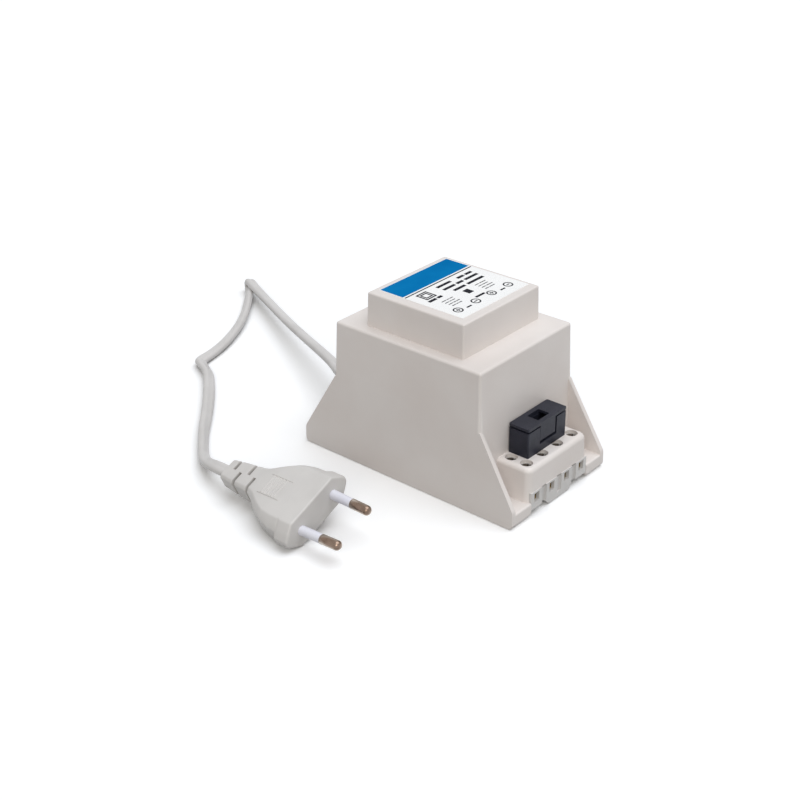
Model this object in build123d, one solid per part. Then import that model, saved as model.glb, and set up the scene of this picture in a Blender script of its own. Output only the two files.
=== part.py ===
from build123d import *
import math
import os

# Step-down transformer in a stepped plastic housing, with screw terminals, a fuse holder and a mains lead.
# Millimetres. X runs across, Y along, with the terminals at -Y and the mains lead at +Y, and Z is up.
# The origin is the middle of the underside.

# Housing: the wide lower body, the upper block that covers the coil, and the walls
BODY_TOP_WIDTH = 58.0
BODY_TOP_LENGTH = 71.5
BODY_HEIGHT = 59.3
BODY_DRAFT = 1.8
BODY_EDGE = 1.1
CAP_TOP_SIZE = 47.2
CAP_HEIGHT = 14.0
CAP_DRAFT = 1.4
CAP_EDGE = 0.8
WALL = 2.0

# Fixing flanges at both ends, with the gussets that carry the side walls down to them
FLANGE_HEIGHT = 6.0
FLANGE_FOOT_ROUND = 2.0
FLANGE_TOP_ROUND = 0.8
GUSSET_THICKNESS = 2.0
GUSSET_TOP = 35.2
GUSSET_TOE = 7.2
GUSSET_TOE_ROUND = 4.0
FIXING_HOLE_D = 4.5
FIXING_INSET_X = 4.0
FIXING_INSET_Y = 8.25

# Terminal hood on the front flange
HOOD_HEIGHT = 20.1
HOOD_DRAFT = 2.2
HOOD_CORNER = 3.0
HOOD_TOP_EDGE = 2.0
HOOD_WALL = 1.4
HOOD_SETBACK = 0.2
CHAMBER_BEVEL = 1.6
WINDOW_TOP = 10.0
WINDOW_FOOT_BEVEL = 1.2
ACCESS_HOLE_D = 5.0
ACCESS_SIDES = 16

# Terminal strip and its metal parts
POLES = 4
POLE_PITCH = 9.9
POLE_WIDTH = 7.0
STRIP_CLEARANCE = 0.15
STRIP_BACK_GAP = 0.3
STRIP_FOOT = 2.6
WEB_TOP = 9.0
WEB_SETBACK = 0.9
HUMP_FOOT = 0.3
HUMP_HALF_WIDTH = 6.6
WIRE_AXIS = 7.3
WIRE_MOUTH_WIDTH = 3.2
WIRE_MOUTH_HEIGHT = 3.9
MOUTH_DEPTH = 1.5
TUBE_SIDE = 5.2
TUBE_BORE = 3.7
TUBE_BACK_ROOM = 1.64
FRONT_SCREW_INSET = 5.4
SCREW_ROW_GAP = 7.0
BACK_SCREW_ROOM = 3.04
SCREW_D = 2.9
SCREW_HEAD_D = 4.3
SCREW_HEAD_HEIGHT = 1.9
SCREW_HEAD_TOP = 18.5
SCREW_TIP = 9.0
SCREW_SLOT_WIDTH = 0.8
SCREW_SLOT_DEPTH = 1.0
SCREW_FIT = 0.08
SHANK_SIDES = 8
HEAD_SIDES = 16
BORE_SIDES = 12
HEAD_CLEARANCE = 0.15
LEAD_D = 2.4
LEAD_SIDES = 6
LEAD_CLEARANCE = 0.2

# Fuse holder and its 5 x 20 fuse link
LINK_END_ROOM = 1.2
LINK_TOP_ROOM = 4.43
CLIP_SIDE_ROOM = 0.28
FUSE_WALL_GAP = 0.2
FUSE_WALL = 1.2
FUSE_EDGE = 0.4
LID_THICKNESS = 1.1
LID_GAP = 0.7
LID_WINDOW_LENGTH = 7.4
LID_WINDOW_DEPTH = 5.2
TONGUE_LEFT = 4.75
TONGUE_RIGHT = 5.05
TONGUE_LENGTH = 6.8
TONGUE_GAP_LEFT = 0.15
TONGUE_GAP_RIGHT = 1.0
TONGUE_GAP_BELOW = 1.3
LINK_D = 5.2
LINK_LENGTH = 20.0
LINK_CAP_LENGTH = 5.2
LINK_CAP_WALL = 0.2
GLASS_WALL = 0.5
GLASS_FIT = 0.02
LINK_WIRE = 0.4
LINK_SIDES = 12
CLIP_SHEET = 0.45
CLIP_WIDTH = 3.6
CLIP_CLEARANCE = 0.12
CLIP_ARM_RISE = 2.2
CLIP_LEG_WIDTH = 1.6
CLIP_LEG_FOOT = 12.0
LEG_CLEARANCE = 0.1
JAW_LENGTH = 8.4
JAW_DROP = 1.4
JAW_CLEARANCE = 0.12

# Label on the upper block
LABEL_WIDTH = 41.2
LABEL_LENGTH = 41.0
LABEL_THICKNESS = 0.15
LABEL_OFFSET_X = 1.1
LABEL_OFFSET_Y = 0.6

# Iron core (shell type, laminations lying flat) and coil
CORE_MODULE = 10.0
CORE_STACK = 36.0
CORE_TOP_GAP = 1.0
BOBBIN_CLEARANCE = 0.3
BOBBIN_WALL = 1.0
BOBBIN_RISE = 10.5
PRIMARY_BUILD = 4.0
INSULATION_BUILD = 0.4
SECONDARY_BUILD = 3.6
COIL_CORNER = 1.5
CUTOUT_SIZE = (10.0, 6.0, 3.2)
RECTIFIER_SIZE = (19.0, 9.0, 7.0)
RECTIFIER_COIL_GAP = 2.0
RESIN_LEVEL = 1.5

# Moulded strain relief in the rear wall
RELIEF_HEIGHT = 14.0
RELIEF_NECK = (8.0, 6.4)
RELIEF_LIP = 1.2
RELIEF_FLANGE_THICKNESS = 1.5
RELIEF_TAIL_LENGTH = 20.0
RELIEF_TAIL_ROOT = (9.0, 7.2)
RELIEF_TAIL_TAPER = 3.2
RELIEF_TAIL_EDGE = 1.0
RELIEF_SLOTS = 4
RELIEF_SLOT_PITCH = 4.0
RELIEF_SLOT_WIDTH = 1.2
RELIEF_SLOT_CORE = 5.0
CORE_LEAD_D = 2.0
CORE_LEAD_SPACING = 3.4
CORE_LEAD_STANDOFF = 3.0

# Mains lead and plug. The plug lies on a bevel, so it is rolled, and its nose is a little up.
CORD_D = 4.4
CORD_SIDES = 6
CORD_FLOOR = 2.3
CORD_END_RUN = 8.0
RUN_SHARE = 0.45
PLUG_FACE = (-79.6, -0.2, 10.6)
PLUG_PITCH = -1.9
PLUG_ROLL = -22.4
PLUG_TURN = -0.2
PLUG_CORNER = [(5.5, 0.0), (2.0, 2.3), (0.0, 5.6)]
PLUG_WIDTH = 35.3
PLUG_THICKNESS = 13.0
EAR_DEPTH = 6.8
EAR_BEVEL = 0.8
PLUG_NECK_AT = 29.5
WAIST_START = (31.8, 12.8, 0.72)
WAIST_STATIONS = [(12.0, 31.0, 12.8, 0.64), (17.0, 28.2, 12.7, 0.52), (22.0, 23.0, 12.4, 0.50),
                  (26.0, 17.2, 11.8, 0.42)]
WAIST_END = (13.4, 10.8, 0.34)
COLLAR_LENGTH = 19.2
COLLAR_ROOT = (12.8, 10.4)
COLLAR_TAPER = 4.4
COLLAR_BEVEL = 1.3
SLOT_FIRST = 1.8
SLOT_PITCH = 4.1
SLOT_COUNT = 4
SLOT_WIDTH = 1.2
SLOT_DEPTH = 1.4
SLOT_START = 0.5
GRIP_START = 15.0
GRIP_LENGTH = 11.0
GRIP_WIDTH = 9.2
GRIP_DEPTH = 0.4
GRIP_RIBS = 5
GRIP_RIB = 0.6
GRIP_PITCH = 1.2
PIN_SPACING = 18.6
PIN_TIP_SPACING = 17.5
PIN_D = 4.0
PIN_LENGTH = 19.0
PIN_ROOT = 9.0
PIN_ROOT_SIDE = 2.2
PIN_NOSE = 0.9
SLEEVE_D = 3.9
SLEEVE_SIDES = 16
SLEEVE_LENGTH = 10.0
SLEEVE_GAP = 0.06


def lean(height, draft):
    """How far a wall of this height leans in at this draft angle."""
    return height * math.tan(math.radians(draft))


# How far a cutting shape runs past the face that it cuts
PAST = 1.0

# Values that follow from the driving sizes
BODY_FOOT_WIDTH = BODY_TOP_WIDTH + 2 * lean(BODY_HEIGHT, BODY_DRAFT)
BODY_FOOT_LENGTH = BODY_TOP_LENGTH + 2 * lean(BODY_HEIGHT, BODY_DRAFT)
CAP_FOOT_SIZE = CAP_TOP_SIZE + 2 * lean(CAP_HEIGHT, CAP_DRAFT)
CAP_TOP = BODY_HEIGHT + CAP_HEIGHT
FLANGE_LENGTH = HOOD_SETBACK + FRONT_SCREW_INSET + SCREW_ROW_GAP + BACK_SCREW_ROOM
OVERALL_LENGTH = BODY_FOOT_LENGTH + 2 * FLANGE_LENGTH
END_Y = OVERALL_LENGTH / 2
FIXING_SPACING_X = BODY_TOP_WIDTH - 2 * FIXING_INSET_X
FIXING_SPACING_Y = OVERALL_LENGTH - 2 * FIXING_INSET_Y
HOOD_FRONT = -(END_Y - HOOD_SETBACK)
POLE_X = [(i - (POLES - 1) / 2) * POLE_PITCH for i in range(POLES)]
STRIP_WIDTH = POLE_PITCH * (POLES - 1) + POLE_WIDTH
HOOD_WIDTH = STRIP_WIDTH + 2 * (STRIP_CLEARANCE + HOOD_WALL)
STRIP_TOP = HOOD_HEIGHT - HOOD_WALL
CHAMBER_FRONT = HOOD_FRONT + HOOD_WALL
STRIP_BACK = -(BODY_FOOT_LENGTH / 2 + STRIP_BACK_GAP)
TUBE_FRONT = HOOD_FRONT + MOUTH_DEPTH
FRONT_SCREW_Y = HOOD_FRONT + FRONT_SCREW_INSET
BACK_SCREW_Y = FRONT_SCREW_Y + SCREW_ROW_GAP
FUSE_LENGTH = LINK_LENGTH + 2 * (LINK_END_ROOM + FUSE_WALL)
FUSE_DEPTH = LINK_D + 2 * (CLIP_CLEARANCE + CLIP_SHEET + CLIP_SIDE_ROOM + FUSE_WALL)
FUSE_HEIGHT = FUSE_WALL + CLIP_SHEET + CLIP_CLEARANCE + LINK_D + LINK_TOP_ROOM + LID_THICKNESS
FUSE_BACK = -(BODY_TOP_LENGTH / 2 + lean(BODY_HEIGHT - HOOD_HEIGHT, BODY_DRAFT) + FUSE_WALL_GAP)
FUSE_Y = FUSE_BACK - FUSE_DEPTH / 2
FUSE_TOP = HOOD_HEIGHT + FUSE_HEIGHT
LID_UNDER = FUSE_TOP - LID_THICKNESS
BASE_TOP = LID_UNDER - LID_GAP
LINK_Z = HOOD_HEIGHT + FUSE_WALL + CLIP_SHEET + CLIP_CLEARANCE + LINK_D / 2
GLASS_D = LINK_D - 2 * (LINK_CAP_WALL + GLASS_FIT)
CLIP_X = (LINK_LENGTH - LINK_CAP_LENGTH) / 2
CORE_TOP = BODY_HEIGHT - WALL - CORE_TOP_GAP
CORE_MID = CORE_TOP - CORE_STACK / 2
TUBE_Y = CORE_MODULE * 2 + 2 * (BOBBIN_CLEARANCE + BOBBIN_WALL)
TUBE_Z = CORE_STACK + 2 * (BOBBIN_CLEARANCE + BOBBIN_WALL)
BOBBIN_LENGTH = 3 * CORE_MODULE - 2 * BOBBIN_CLEARANCE
BOBBIN_WIDTH = 4 * CORE_MODULE - 2 * BOBBIN_CLEARANCE
BOBBIN_HEIGHT = CORE_STACK + 2 * BOBBIN_RISE
COIL_BUILD = PRIMARY_BUILD + INSULATION_BUILD + SECONDARY_BUILD
COIL_Y = TUBE_Y / 2 + COIL_BUILD
COIL_TOP = CORE_MID + TUBE_Z / 2 + COIL_BUILD
COIL_LEAD_Z = CORE_MID - TUBE_Z / 2
RECTIFIER_Y = -(COIL_Y + RECTIFIER_COIL_GAP + RECTIFIER_SIZE[1] / 2)
PLUG_STATIONS = [(EAR_DEPTH - PAST, *WAIST_START), *WAIST_STATIONS, (PLUG_NECK_AT, *WAIST_END)]


def wall_y(z):
    """Outside of the end wall at a height, as a distance from the middle."""
    return BODY_TOP_LENGTH / 2 + lean(BODY_HEIGHT - z, BODY_DRAFT)


def wall_x(z):
    """Outside of the side wall at a height, as a distance from the middle."""
    return BODY_TOP_WIDTH / 2 + lean(BODY_HEIGHT - z, BODY_DRAFT)


def span_box(x, y, z):
    """A box between two limits on each axis."""
    size = [limits[1] - limits[0] for limits in (x, y, z)]
    middle = [(limits[0] + limits[1]) / 2 for limits in (x, y, z)]
    return Pos(*middle) * Box(*size)


def rod(start, end, diameter):
    """A round bar between two points."""
    start, end = Vector(start), Vector(end)
    along = end - start
    return extrude(Plane(start, z_dir=along) * Circle(diameter / 2), along.length)


def facet_bar(start, end, diameter, sides, around=False):
    """A many-sided bar between two points, inside a round of the diameter or around it."""
    start, end = Vector(*start), Vector(*end)
    section = RegularPolygon(diameter / 2, sides, major_radius=not around)
    return extrude(Plane(start, z_dir=end - start) * section, (end - start).length)


def drafted_block(width, length, height, draft):
    """An upright block whose walls lean in. The sizes are those of its foot."""
    return extrude(Rectangle(width, length), height, taper=draft)


def rounded_block(width, length, height, draft, radius):
    """A drafted block with its leaning corners and the edges of its top rounded alike."""
    block = drafted_block(width, length, height, draft)
    return fillet(block.edges().filter_by_position(Axis.Z, PAST, height + PAST), radius)


def corner_of(outline, a, b):
    """The corner of a flat outline that lies nearest to a point."""
    return outline.vertices().sort_by_distance((a, b, 0))[0]


def housing_cavity():
    """The hollow of the body and the upper block, one wall inside their outer faces."""
    inset = 2 * WALL
    body = drafted_block(BODY_FOOT_WIDTH - inset, BODY_FOOT_LENGTH - inset, BODY_HEIGHT - WALL, BODY_DRAFT)
    cap = drafted_block(CAP_FOOT_SIZE - inset, CAP_FOOT_SIZE - inset, CAP_HEIGHT, CAP_DRAFT)
    return body + Pos(0, 0, BODY_HEIGHT - WALL) * cap


def gusset_pair():
    """The two side walls' sloping feet at the +Y end: a side outline kept only within the leaning walls."""
    root = wall_y(GUSSET_TOP) - WALL
    outline = Polygon((root, 0), (END_Y, 0), (END_Y, GUSSET_TOE), (wall_y(GUSSET_TOP), GUSSET_TOP),
                      (root, GUSSET_TOP))
    outline = fillet(corner_of(outline, END_Y, GUSSET_TOE), GUSSET_TOE_ROUND)
    outline = fillet(corner_of(outline, END_Y, 0), FLANGE_FOOT_ROUND)
    slab = extrude(Plane.YZ * outline, BODY_FOOT_WIDTH, both=True)
    foot, top = wall_x(0), wall_x(GUSSET_TOP)
    section = Polygon((foot - GUSSET_THICKNESS, 0), (foot, 0), (top, GUSSET_TOP),
                      (top - GUSSET_THICKNESS, GUSSET_TOP))
    wall = extrude(Plane.XZ * section, OVERALL_LENGTH, both=True)
    right = slab & wall
    return right + mirror(right, Plane.YZ)


def flange():
    """The fixing flange at the +Y end, between the gussets."""
    root = wall_y(FLANGE_HEIGHT) - WALL
    outline = Polygon((root, 0), (END_Y, 0), (END_Y, FLANGE_HEIGHT), (root, FLANGE_HEIGHT))
    outline = fillet(corner_of(outline, END_Y, FLANGE_HEIGHT), FLANGE_TOP_ROUND)
    outline = fillet(corner_of(outline, END_Y, 0), FLANGE_FOOT_ROUND)
    half_width = wall_x(FLANGE_HEIGHT) - GUSSET_THICKNESS / 2
    return extrude(Plane.YZ * outline, half_width, both=True)


def hood():
    """The terminal hood as a solid block, its back buried in the front wall."""
    back = -(wall_y(0) - WALL)
    length = back - HOOD_FRONT
    block = drafted_block(HOOD_WIDTH, length, HOOD_HEIGHT, HOOD_DRAFT)
    uprights = block.edges().filter_by_position(Axis.Z, PAST, HOOD_HEIGHT - PAST)
    block = fillet(uprights.sort_by(Axis.Y)[:2], HOOD_CORNER)
    rim = block.faces().sort_by(Axis.Z)[-1].edges().sort_by(Axis.Y)[:-1]
    return Pos(0, (HOOD_FRONT + back) / 2, 0) * fillet(rim, HOOD_TOP_EDGE)


def front_corners(half, foot):
    """Upright wedges across the two front corners of a room of this half width, from a height up."""
    corner = Polygon((half - CHAMBER_BEVEL, CHAMBER_FRONT), (half, CHAMBER_FRONT),
                     (half, CHAMBER_FRONT + CHAMBER_BEVEL))
    wedge = Pos(0, 0, foot) * extrude(corner, STRIP_TOP - foot)
    return wedge + mirror(wedge, Plane.YZ)


def terminal_chamber():
    """The room for the terminal strip below the hood, with its window in the front wall."""
    half = STRIP_WIDTH / 2 + STRIP_CLEARANCE
    chamber = span_box((-half, half), (CHAMBER_FRONT, STRIP_BACK), (0, STRIP_TOP))
    chamber -= front_corners(half, WINDOW_TOP)
    window = span_box((-half, half), (-END_Y - PAST, CHAMBER_FRONT), (0, WINDOW_TOP))
    foot = half + WINDOW_FOOT_BEVEL
    bevel = Polygon((-foot, 0), (foot, 0), (half, WINDOW_FOOT_BEVEL), (-half, WINDOW_FOOT_BEVEL))
    depth = STRIP_BACK + END_Y + PAST
    return chamber + window + Pos(0, STRIP_BACK, 0) * extrude(Plane.XZ * bevel, depth)


def access_holes():
    """Screwdriver holes in the hood: the whole front row, and the two back ones that the fuse leaves free."""
    places = [(x, FRONT_SCREW_Y) for x in POLE_X] + [(x, BACK_SCREW_Y) for x in (POLE_X[0], POLE_X[-1])]
    deep, high = HOOD_HEIGHT - 2 * HOOD_WALL, HOOD_HEIGHT + PAST
    return [facet_bar((x, y, deep), (x, y, high), ACCESS_HOLE_D, ACCESS_SIDES) for x, y in places]


def lead_slot():
    """The slot in the front wall that all the factory leads pass through."""
    half = LEAD_D / 2 + LEAD_CLEARANCE
    return span_box((POLE_X[0] - half, POLE_X[-1] + half), (STRIP_BACK, STRIP_BACK + 3 * WALL),
                    (WIRE_AXIS - half, WIRE_AXIS + half))


def fuse_leg_box(side, clearance):
    """The flat leg of a fuse clip, from the floor of the fuse base down between two poles."""
    half = CLIP_LEG_WIDTH / 2 + clearance
    thick = CLIP_SHEET / 2 + clearance
    x = side * POLE_PITCH
    top = HOOD_HEIGHT + FUSE_WALL + CLIP_SHEET
    return span_box((x - thick, x + thick), (FUSE_Y - half, FUSE_Y + half), (CLIP_LEG_FOOT - clearance, top))


def relief_frame():
    """A frame on the rear wall's outside whose Z leaves the wall squarely."""
    out = (0, math.cos(math.radians(BODY_DRAFT)), math.sin(math.radians(BODY_DRAFT)))
    return Plane((0, wall_y(RELIEF_HEIGHT), RELIEF_HEIGHT), x_dir=(1, 0, 0), z_dir=out)


def housing():
    body = rounded_block(BODY_FOOT_WIDTH, BODY_FOOT_LENGTH, BODY_HEIGHT, BODY_DRAFT, BODY_EDGE)
    cap = rounded_block(CAP_FOOT_SIZE, CAP_FOOT_SIZE, CAP_HEIGHT, CAP_DRAFT, CAP_EDGE)
    shell = body + Pos(0, 0, BODY_HEIGHT) * cap
    rear = gusset_pair() + flange()
    shell = shell + rear + mirror(rear, Plane.XZ) + hood()
    shell -= housing_cavity()
    shell -= terminal_chamber()
    for hole in access_holes():
        shell -= hole
    shell -= lead_slot()
    for side in (-1, 1):
        shell -= fuse_leg_box(side, LEG_CLEARANCE)
    for spot in GridLocations(FIXING_SPACING_X, FIXING_SPACING_Y, 2, 2):
        shell -= spot * Cylinder(FIXING_HOLE_D / 2, 4 * FLANGE_HEIGHT)
    neck = relief_frame() * Rectangle(*RELIEF_NECK)
    return shell - extrude(neck, 2 * WALL, both=True)


def rating_label():
    plate = extrude(Rectangle(LABEL_WIDTH, LABEL_LENGTH), LABEL_THICKNESS)
    return Pos(LABEL_OFFSET_X, LABEL_OFFSET_Y, CAP_TOP) * plate


def terminal_strip():
    """Four pole towers joined by lower webs, with a bevelled foot in the middle."""
    strip = span_box((POLE_X[0], POLE_X[-1]), (HOOD_FRONT + WEB_SETBACK, STRIP_BACK), (STRIP_FOOT, WEB_TOP))
    for x in POLE_X:
        edge = POLE_WIDTH / 2
        strip += span_box((x - edge, x + edge), (CHAMBER_FRONT, STRIP_BACK), (STRIP_FOOT, STRIP_TOP))
        strip += span_box((x - edge, x + edge), (HOOD_FRONT, CHAMBER_FRONT), (STRIP_FOOT, WINDOW_TOP))
    strip -= front_corners(STRIP_WIDTH / 2, WINDOW_TOP - STRIP_CLEARANCE)
    rise = STRIP_FOOT - HUMP_FOOT
    hump = Polygon((-HUMP_HALF_WIDTH, HUMP_FOOT), (HUMP_HALF_WIDTH, HUMP_FOOT),
                   (HUMP_HALF_WIDTH + rise, STRIP_FOOT), (-HUMP_HALF_WIDTH - rise, STRIP_FOOT))
    strip += Pos(0, STRIP_BACK, 0) * extrude(Plane.XZ * hump, STRIP_BACK - HOOD_FRONT)
    tube_half = TUBE_SIDE / 2
    for x in POLE_X:
        mouth_x, mouth_z = WIRE_MOUTH_WIDTH / 2, WIRE_MOUTH_HEIGHT / 2
        strip -= span_box((x - mouth_x, x + mouth_x), (HOOD_FRONT - PAST, TUBE_FRONT),
                          (WIRE_AXIS - mouth_z, WIRE_AXIS + mouth_z))
        strip -= span_box((x - tube_half, x + tube_half), (TUBE_FRONT, STRIP_BACK + PAST),
                          (WIRE_AXIS - tube_half, WIRE_AXIS + tube_half))
        for y in (FRONT_SCREW_Y, BACK_SCREW_Y):
            strip -= facet_bar((x, y, WIRE_AXIS), (x, y, STRIP_TOP + PAST), SCREW_HEAD_D + 2 * HEAD_CLEARANCE,
                               BORE_SIDES, around=True)
    return strip


def terminal_tubes():
    """Square brass clamping tubes, each with two screw holes in its roof."""
    outside, inside = TUBE_SIDE / 2, TUBE_BORE / 2
    end = STRIP_BACK - TUBE_BACK_ROOM
    tubes = []
    for x in POLE_X:
        tube = span_box((x - outside, x + outside), (TUBE_FRONT, end),
                        (WIRE_AXIS - outside, WIRE_AXIS + outside))
        tube -= span_box((x - inside, x + inside), (TUBE_FRONT - PAST, end + PAST),
                         (WIRE_AXIS - inside, WIRE_AXIS + inside))
        for y in (FRONT_SCREW_Y, BACK_SCREW_Y):
            tube -= facet_bar((x, y, WIRE_AXIS), (x, y, WIRE_AXIS + TUBE_SIDE), SCREW_D + 2 * SCREW_FIT,
                              SHANK_SIDES, around=True)
        tubes.append(tube)
    return Compound(children=tubes)


def terminal_screw(x, y, tip):
    """A slotted cheese-head screw, head up."""
    head_under = SCREW_HEAD_TOP - SCREW_HEAD_HEIGHT
    screw = facet_bar((x, y, tip), (x, y, head_under), SCREW_D, SHANK_SIDES)
    screw += facet_bar((x, y, head_under), (x, y, SCREW_HEAD_TOP), SCREW_HEAD_D, HEAD_SIDES)
    half = SCREW_SLOT_WIDTH / 2
    slot = span_box((-SCREW_HEAD_D, SCREW_HEAD_D), (-half, half), (-SCREW_SLOT_DEPTH, SCREW_SLOT_DEPTH))
    return screw - Pos(x, y, SCREW_HEAD_TOP) * slot


def lead_screws():
    """The back row, screwed down on the factory leads."""
    tip = WIRE_AXIS + LEAD_D / 2
    return Compound(children=[terminal_screw(x, BACK_SCREW_Y, tip) for x in POLE_X])


def lead(points, diameter):
    """An insulated lead along straight runs with mitred corners, many-sided for round."""
    path = Polyline(*points)
    section = Plane(points[0], z_dir=path % 0) * RegularPolygon(diameter / 2, LEAD_SIDES)
    return sweep(section, path, transition=Transition.RIGHT)


def output_leads():
    """Insulated leads from the rectifier to the back of each pole."""
    inside = BACK_SCREW_Y - LEAD_D
    half_width = RECTIFIER_SIZE[0] / 2
    leads = []
    for x in POLE_X:
        if abs(x) < half_width:
            route = [(x, inside, WIRE_AXIS), (x, RECTIFIER_Y - RECTIFIER_SIZE[1] / 2, WIRE_AXIS)]
        else:
            end = math.copysign(half_width, x)
            route = [(x, inside, WIRE_AXIS), (x, RECTIFIER_Y, WIRE_AXIS), (end, RECTIFIER_Y, WIRE_AXIS)]
        leads.append(lead(route, LEAD_D))
    return Compound(children=leads)


def fuse_base():
    """An open box with a cut-out in the front wall for the carrier's tongue."""
    half_x, half_y = FUSE_LENGTH / 2, FUSE_DEPTH / 2
    box = span_box((-half_x, half_x), (FUSE_Y - half_y, FUSE_Y + half_y), (HOOD_HEIGHT, BASE_TOP))
    box = chamfer(box.edges().filter_by(Axis.Z), FUSE_EDGE)
    room_x, room_y = half_x - FUSE_WALL, half_y - FUSE_WALL
    box -= span_box((-room_x, room_x), (FUSE_Y - room_y, FUSE_Y + room_y),
                    (HOOD_HEIGHT + FUSE_WALL, BASE_TOP + PAST))
    tongue_foot = LID_UNDER - TONGUE_LENGTH
    box -= span_box((-TONGUE_LEFT - TONGUE_GAP_LEFT, TONGUE_RIGHT + TONGUE_GAP_RIGHT),
                    (FUSE_Y - half_y - PAST, FUSE_Y - room_y),
                    (tongue_foot - TONGUE_GAP_BELOW, BASE_TOP + PAST))
    for side in (-1, 1):
        box -= fuse_leg_box(side, LEG_CLEARANCE)
    return box


def fuse_carrier():
    """The pull-out cap: a lid with a window, a front tongue, and a saddle that holds the fuse link."""
    half_x, half_y = FUSE_LENGTH / 2, FUSE_DEPTH / 2
    lid = span_box((-half_x, half_x), (FUSE_Y - half_y, FUSE_Y + half_y), (LID_UNDER, FUSE_TOP))
    lid = chamfer(lid.edges().filter_by(Axis.Z), FUSE_EDGE)
    tongue_back = FUSE_Y - half_y + FUSE_WALL - JAW_CLEARANCE
    lid += span_box((-TONGUE_LEFT, TONGUE_RIGHT), (FUSE_Y - half_y, tongue_back),
                    (LID_UNDER - TONGUE_LENGTH, LID_UNDER))
    jaw_y = half_y - FUSE_WALL - JAW_CLEARANCE
    link_r = GLASS_D / 2
    saddle = span_box((-JAW_LENGTH / 2, JAW_LENGTH / 2), (FUSE_Y - jaw_y, FUSE_Y + jaw_y),
                      (LINK_Z - JAW_DROP, LID_UNDER))
    saddle -= link_bar(-JAW_LENGTH, JAW_LENGTH, GLASS_D)
    saddle -= span_box((-JAW_LENGTH, JAW_LENGTH), (FUSE_Y - link_r, FUSE_Y + link_r), (LINK_Z, LID_UNDER))
    lid += saddle
    window_x, window_y = LID_WINDOW_LENGTH / 2, LID_WINDOW_DEPTH / 2
    return lid - span_box((-window_x, window_x), (FUSE_Y - window_y, FUSE_Y + window_y),
                          (LID_UNDER - PAST, FUSE_TOP + PAST))


def fuse_clip(side):
    """A U of spring sheet round one end cap, open upwards, with a flat leg below."""
    bore = LINK_D + 2 * CLIP_CLEARANCE
    outer = bore + 2 * CLIP_SHEET
    arms = Pos(0, CLIP_ARM_RISE / 2) * Rectangle(outer, CLIP_ARM_RISE)
    gap = Pos(0, CLIP_ARM_RISE / 2) * Rectangle(bore, CLIP_ARM_RISE)
    section = Circle(outer / 2) + arms - Circle(bore / 2) - gap
    section -= Pos(0, CLIP_ARM_RISE + outer / 2) * Rectangle(2 * outer, outer)
    x = side * CLIP_X
    across = Plane((x, FUSE_Y, LINK_Z), x_dir=(0, 1, 0), z_dir=(1, 0, 0))
    clip = extrude(across * section, CLIP_WIDTH / 2, both=True)
    floor = HOOD_HEIGHT + FUSE_WALL
    reach = side * (POLE_PITCH + CLIP_SHEET / 2)
    half = CLIP_LEG_WIDTH / 2
    foot = span_box(sorted((x, reach)), (FUSE_Y - half, FUSE_Y + half), (floor, floor + CLIP_SHEET))
    return clip + foot + fuse_leg_box(side, 0)


def link_bar(start, end, diameter):
    """A many-sided bar along the fuse link's axis, between two places in X."""
    return facet_bar((start, FUSE_Y, LINK_Z), (end, FUSE_Y, LINK_Z), diameter, LINK_SIDES)


def fuse_glass():
    half = LINK_LENGTH / 2 - 2 * LINK_CAP_WALL
    return link_bar(-half, half, GLASS_D) - link_bar(-half, half, GLASS_D - 2 * GLASS_WALL)


def fuse_caps():
    """The two metal end caps, cups over the ends of the glass."""
    caps = []
    for side in (-1, 1):
        tip, mouth = side * LINK_LENGTH / 2, side * (LINK_LENGTH / 2 - LINK_CAP_LENGTH)
        seat = side * (LINK_LENGTH / 2 - 2 * LINK_CAP_WALL)
        hollow = link_bar(*sorted((seat, mouth - side * PAST)), LINK_D - 2 * LINK_CAP_WALL)
        caps.append(link_bar(*sorted((tip, mouth)), LINK_D) - hollow)
    return Compound(children=caps)


def fuse_wire():
    half = LINK_LENGTH / 2 - 2 * LINK_CAP_WALL
    return Pos(0, FUSE_Y, LINK_Z) * Box(2 * half, LINK_WIRE, LINK_WIRE)


def core_e_stack():
    """E laminations: a back and three legs, the middle one twice as wide."""
    m = CORE_MODULE
    sheet = Pos(-0.5 * m, 0) * Rectangle(4 * m, 6 * m)
    for side in (-1, 1):
        sheet -= Pos(0, side * 1.5 * m) * Rectangle(3 * m, m)
    return Pos(0, 0, CORE_TOP - CORE_STACK) * extrude(sheet, CORE_STACK)


def core_i_stack():
    """I laminations that close the legs."""
    sheet = Pos(2 * CORE_MODULE, 0) * Rectangle(CORE_MODULE, 6 * CORE_MODULE)
    return Pos(0, 0, CORE_TOP - CORE_STACK) * extrude(sheet, CORE_STACK)


def coil_ring(inner_y, inner_z, build, length):
    """A rectangular ring round the X axis at the core's mid height, bevelled at its outer corners."""
    outer = Rectangle(inner_y + 2 * build, inner_z + 2 * build)
    outer = chamfer(outer.vertices(), min(COIL_CORNER, build))
    ring = Plane((0, 0, CORE_MID), x_dir=(0, 1, 0), z_dir=(1, 0, 0)) * (outer - Rectangle(inner_y, inner_z))
    return extrude(ring, length / 2, both=True)


def bobbin():
    """A rectangular tube on the middle leg with a flange at each end."""
    hole_y, hole_z = TUBE_Y - 2 * BOBBIN_WALL, TUBE_Z - 2 * BOBBIN_WALL
    former = coil_ring(hole_y, hole_z, BOBBIN_WALL, BOBBIN_LENGTH)
    plate = Rectangle(BOBBIN_WIDTH, BOBBIN_HEIGHT) - Rectangle(hole_y, hole_z)
    for side in (-1, 1):
        x = side * (BOBBIN_LENGTH - BOBBIN_WALL) / 2
        spot = Plane((x, 0, CORE_MID), x_dir=(0, 1, 0), z_dir=(1, 0, 0))
        former += extrude(spot * plate, BOBBIN_WALL / 2, both=True)
    return former


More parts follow.
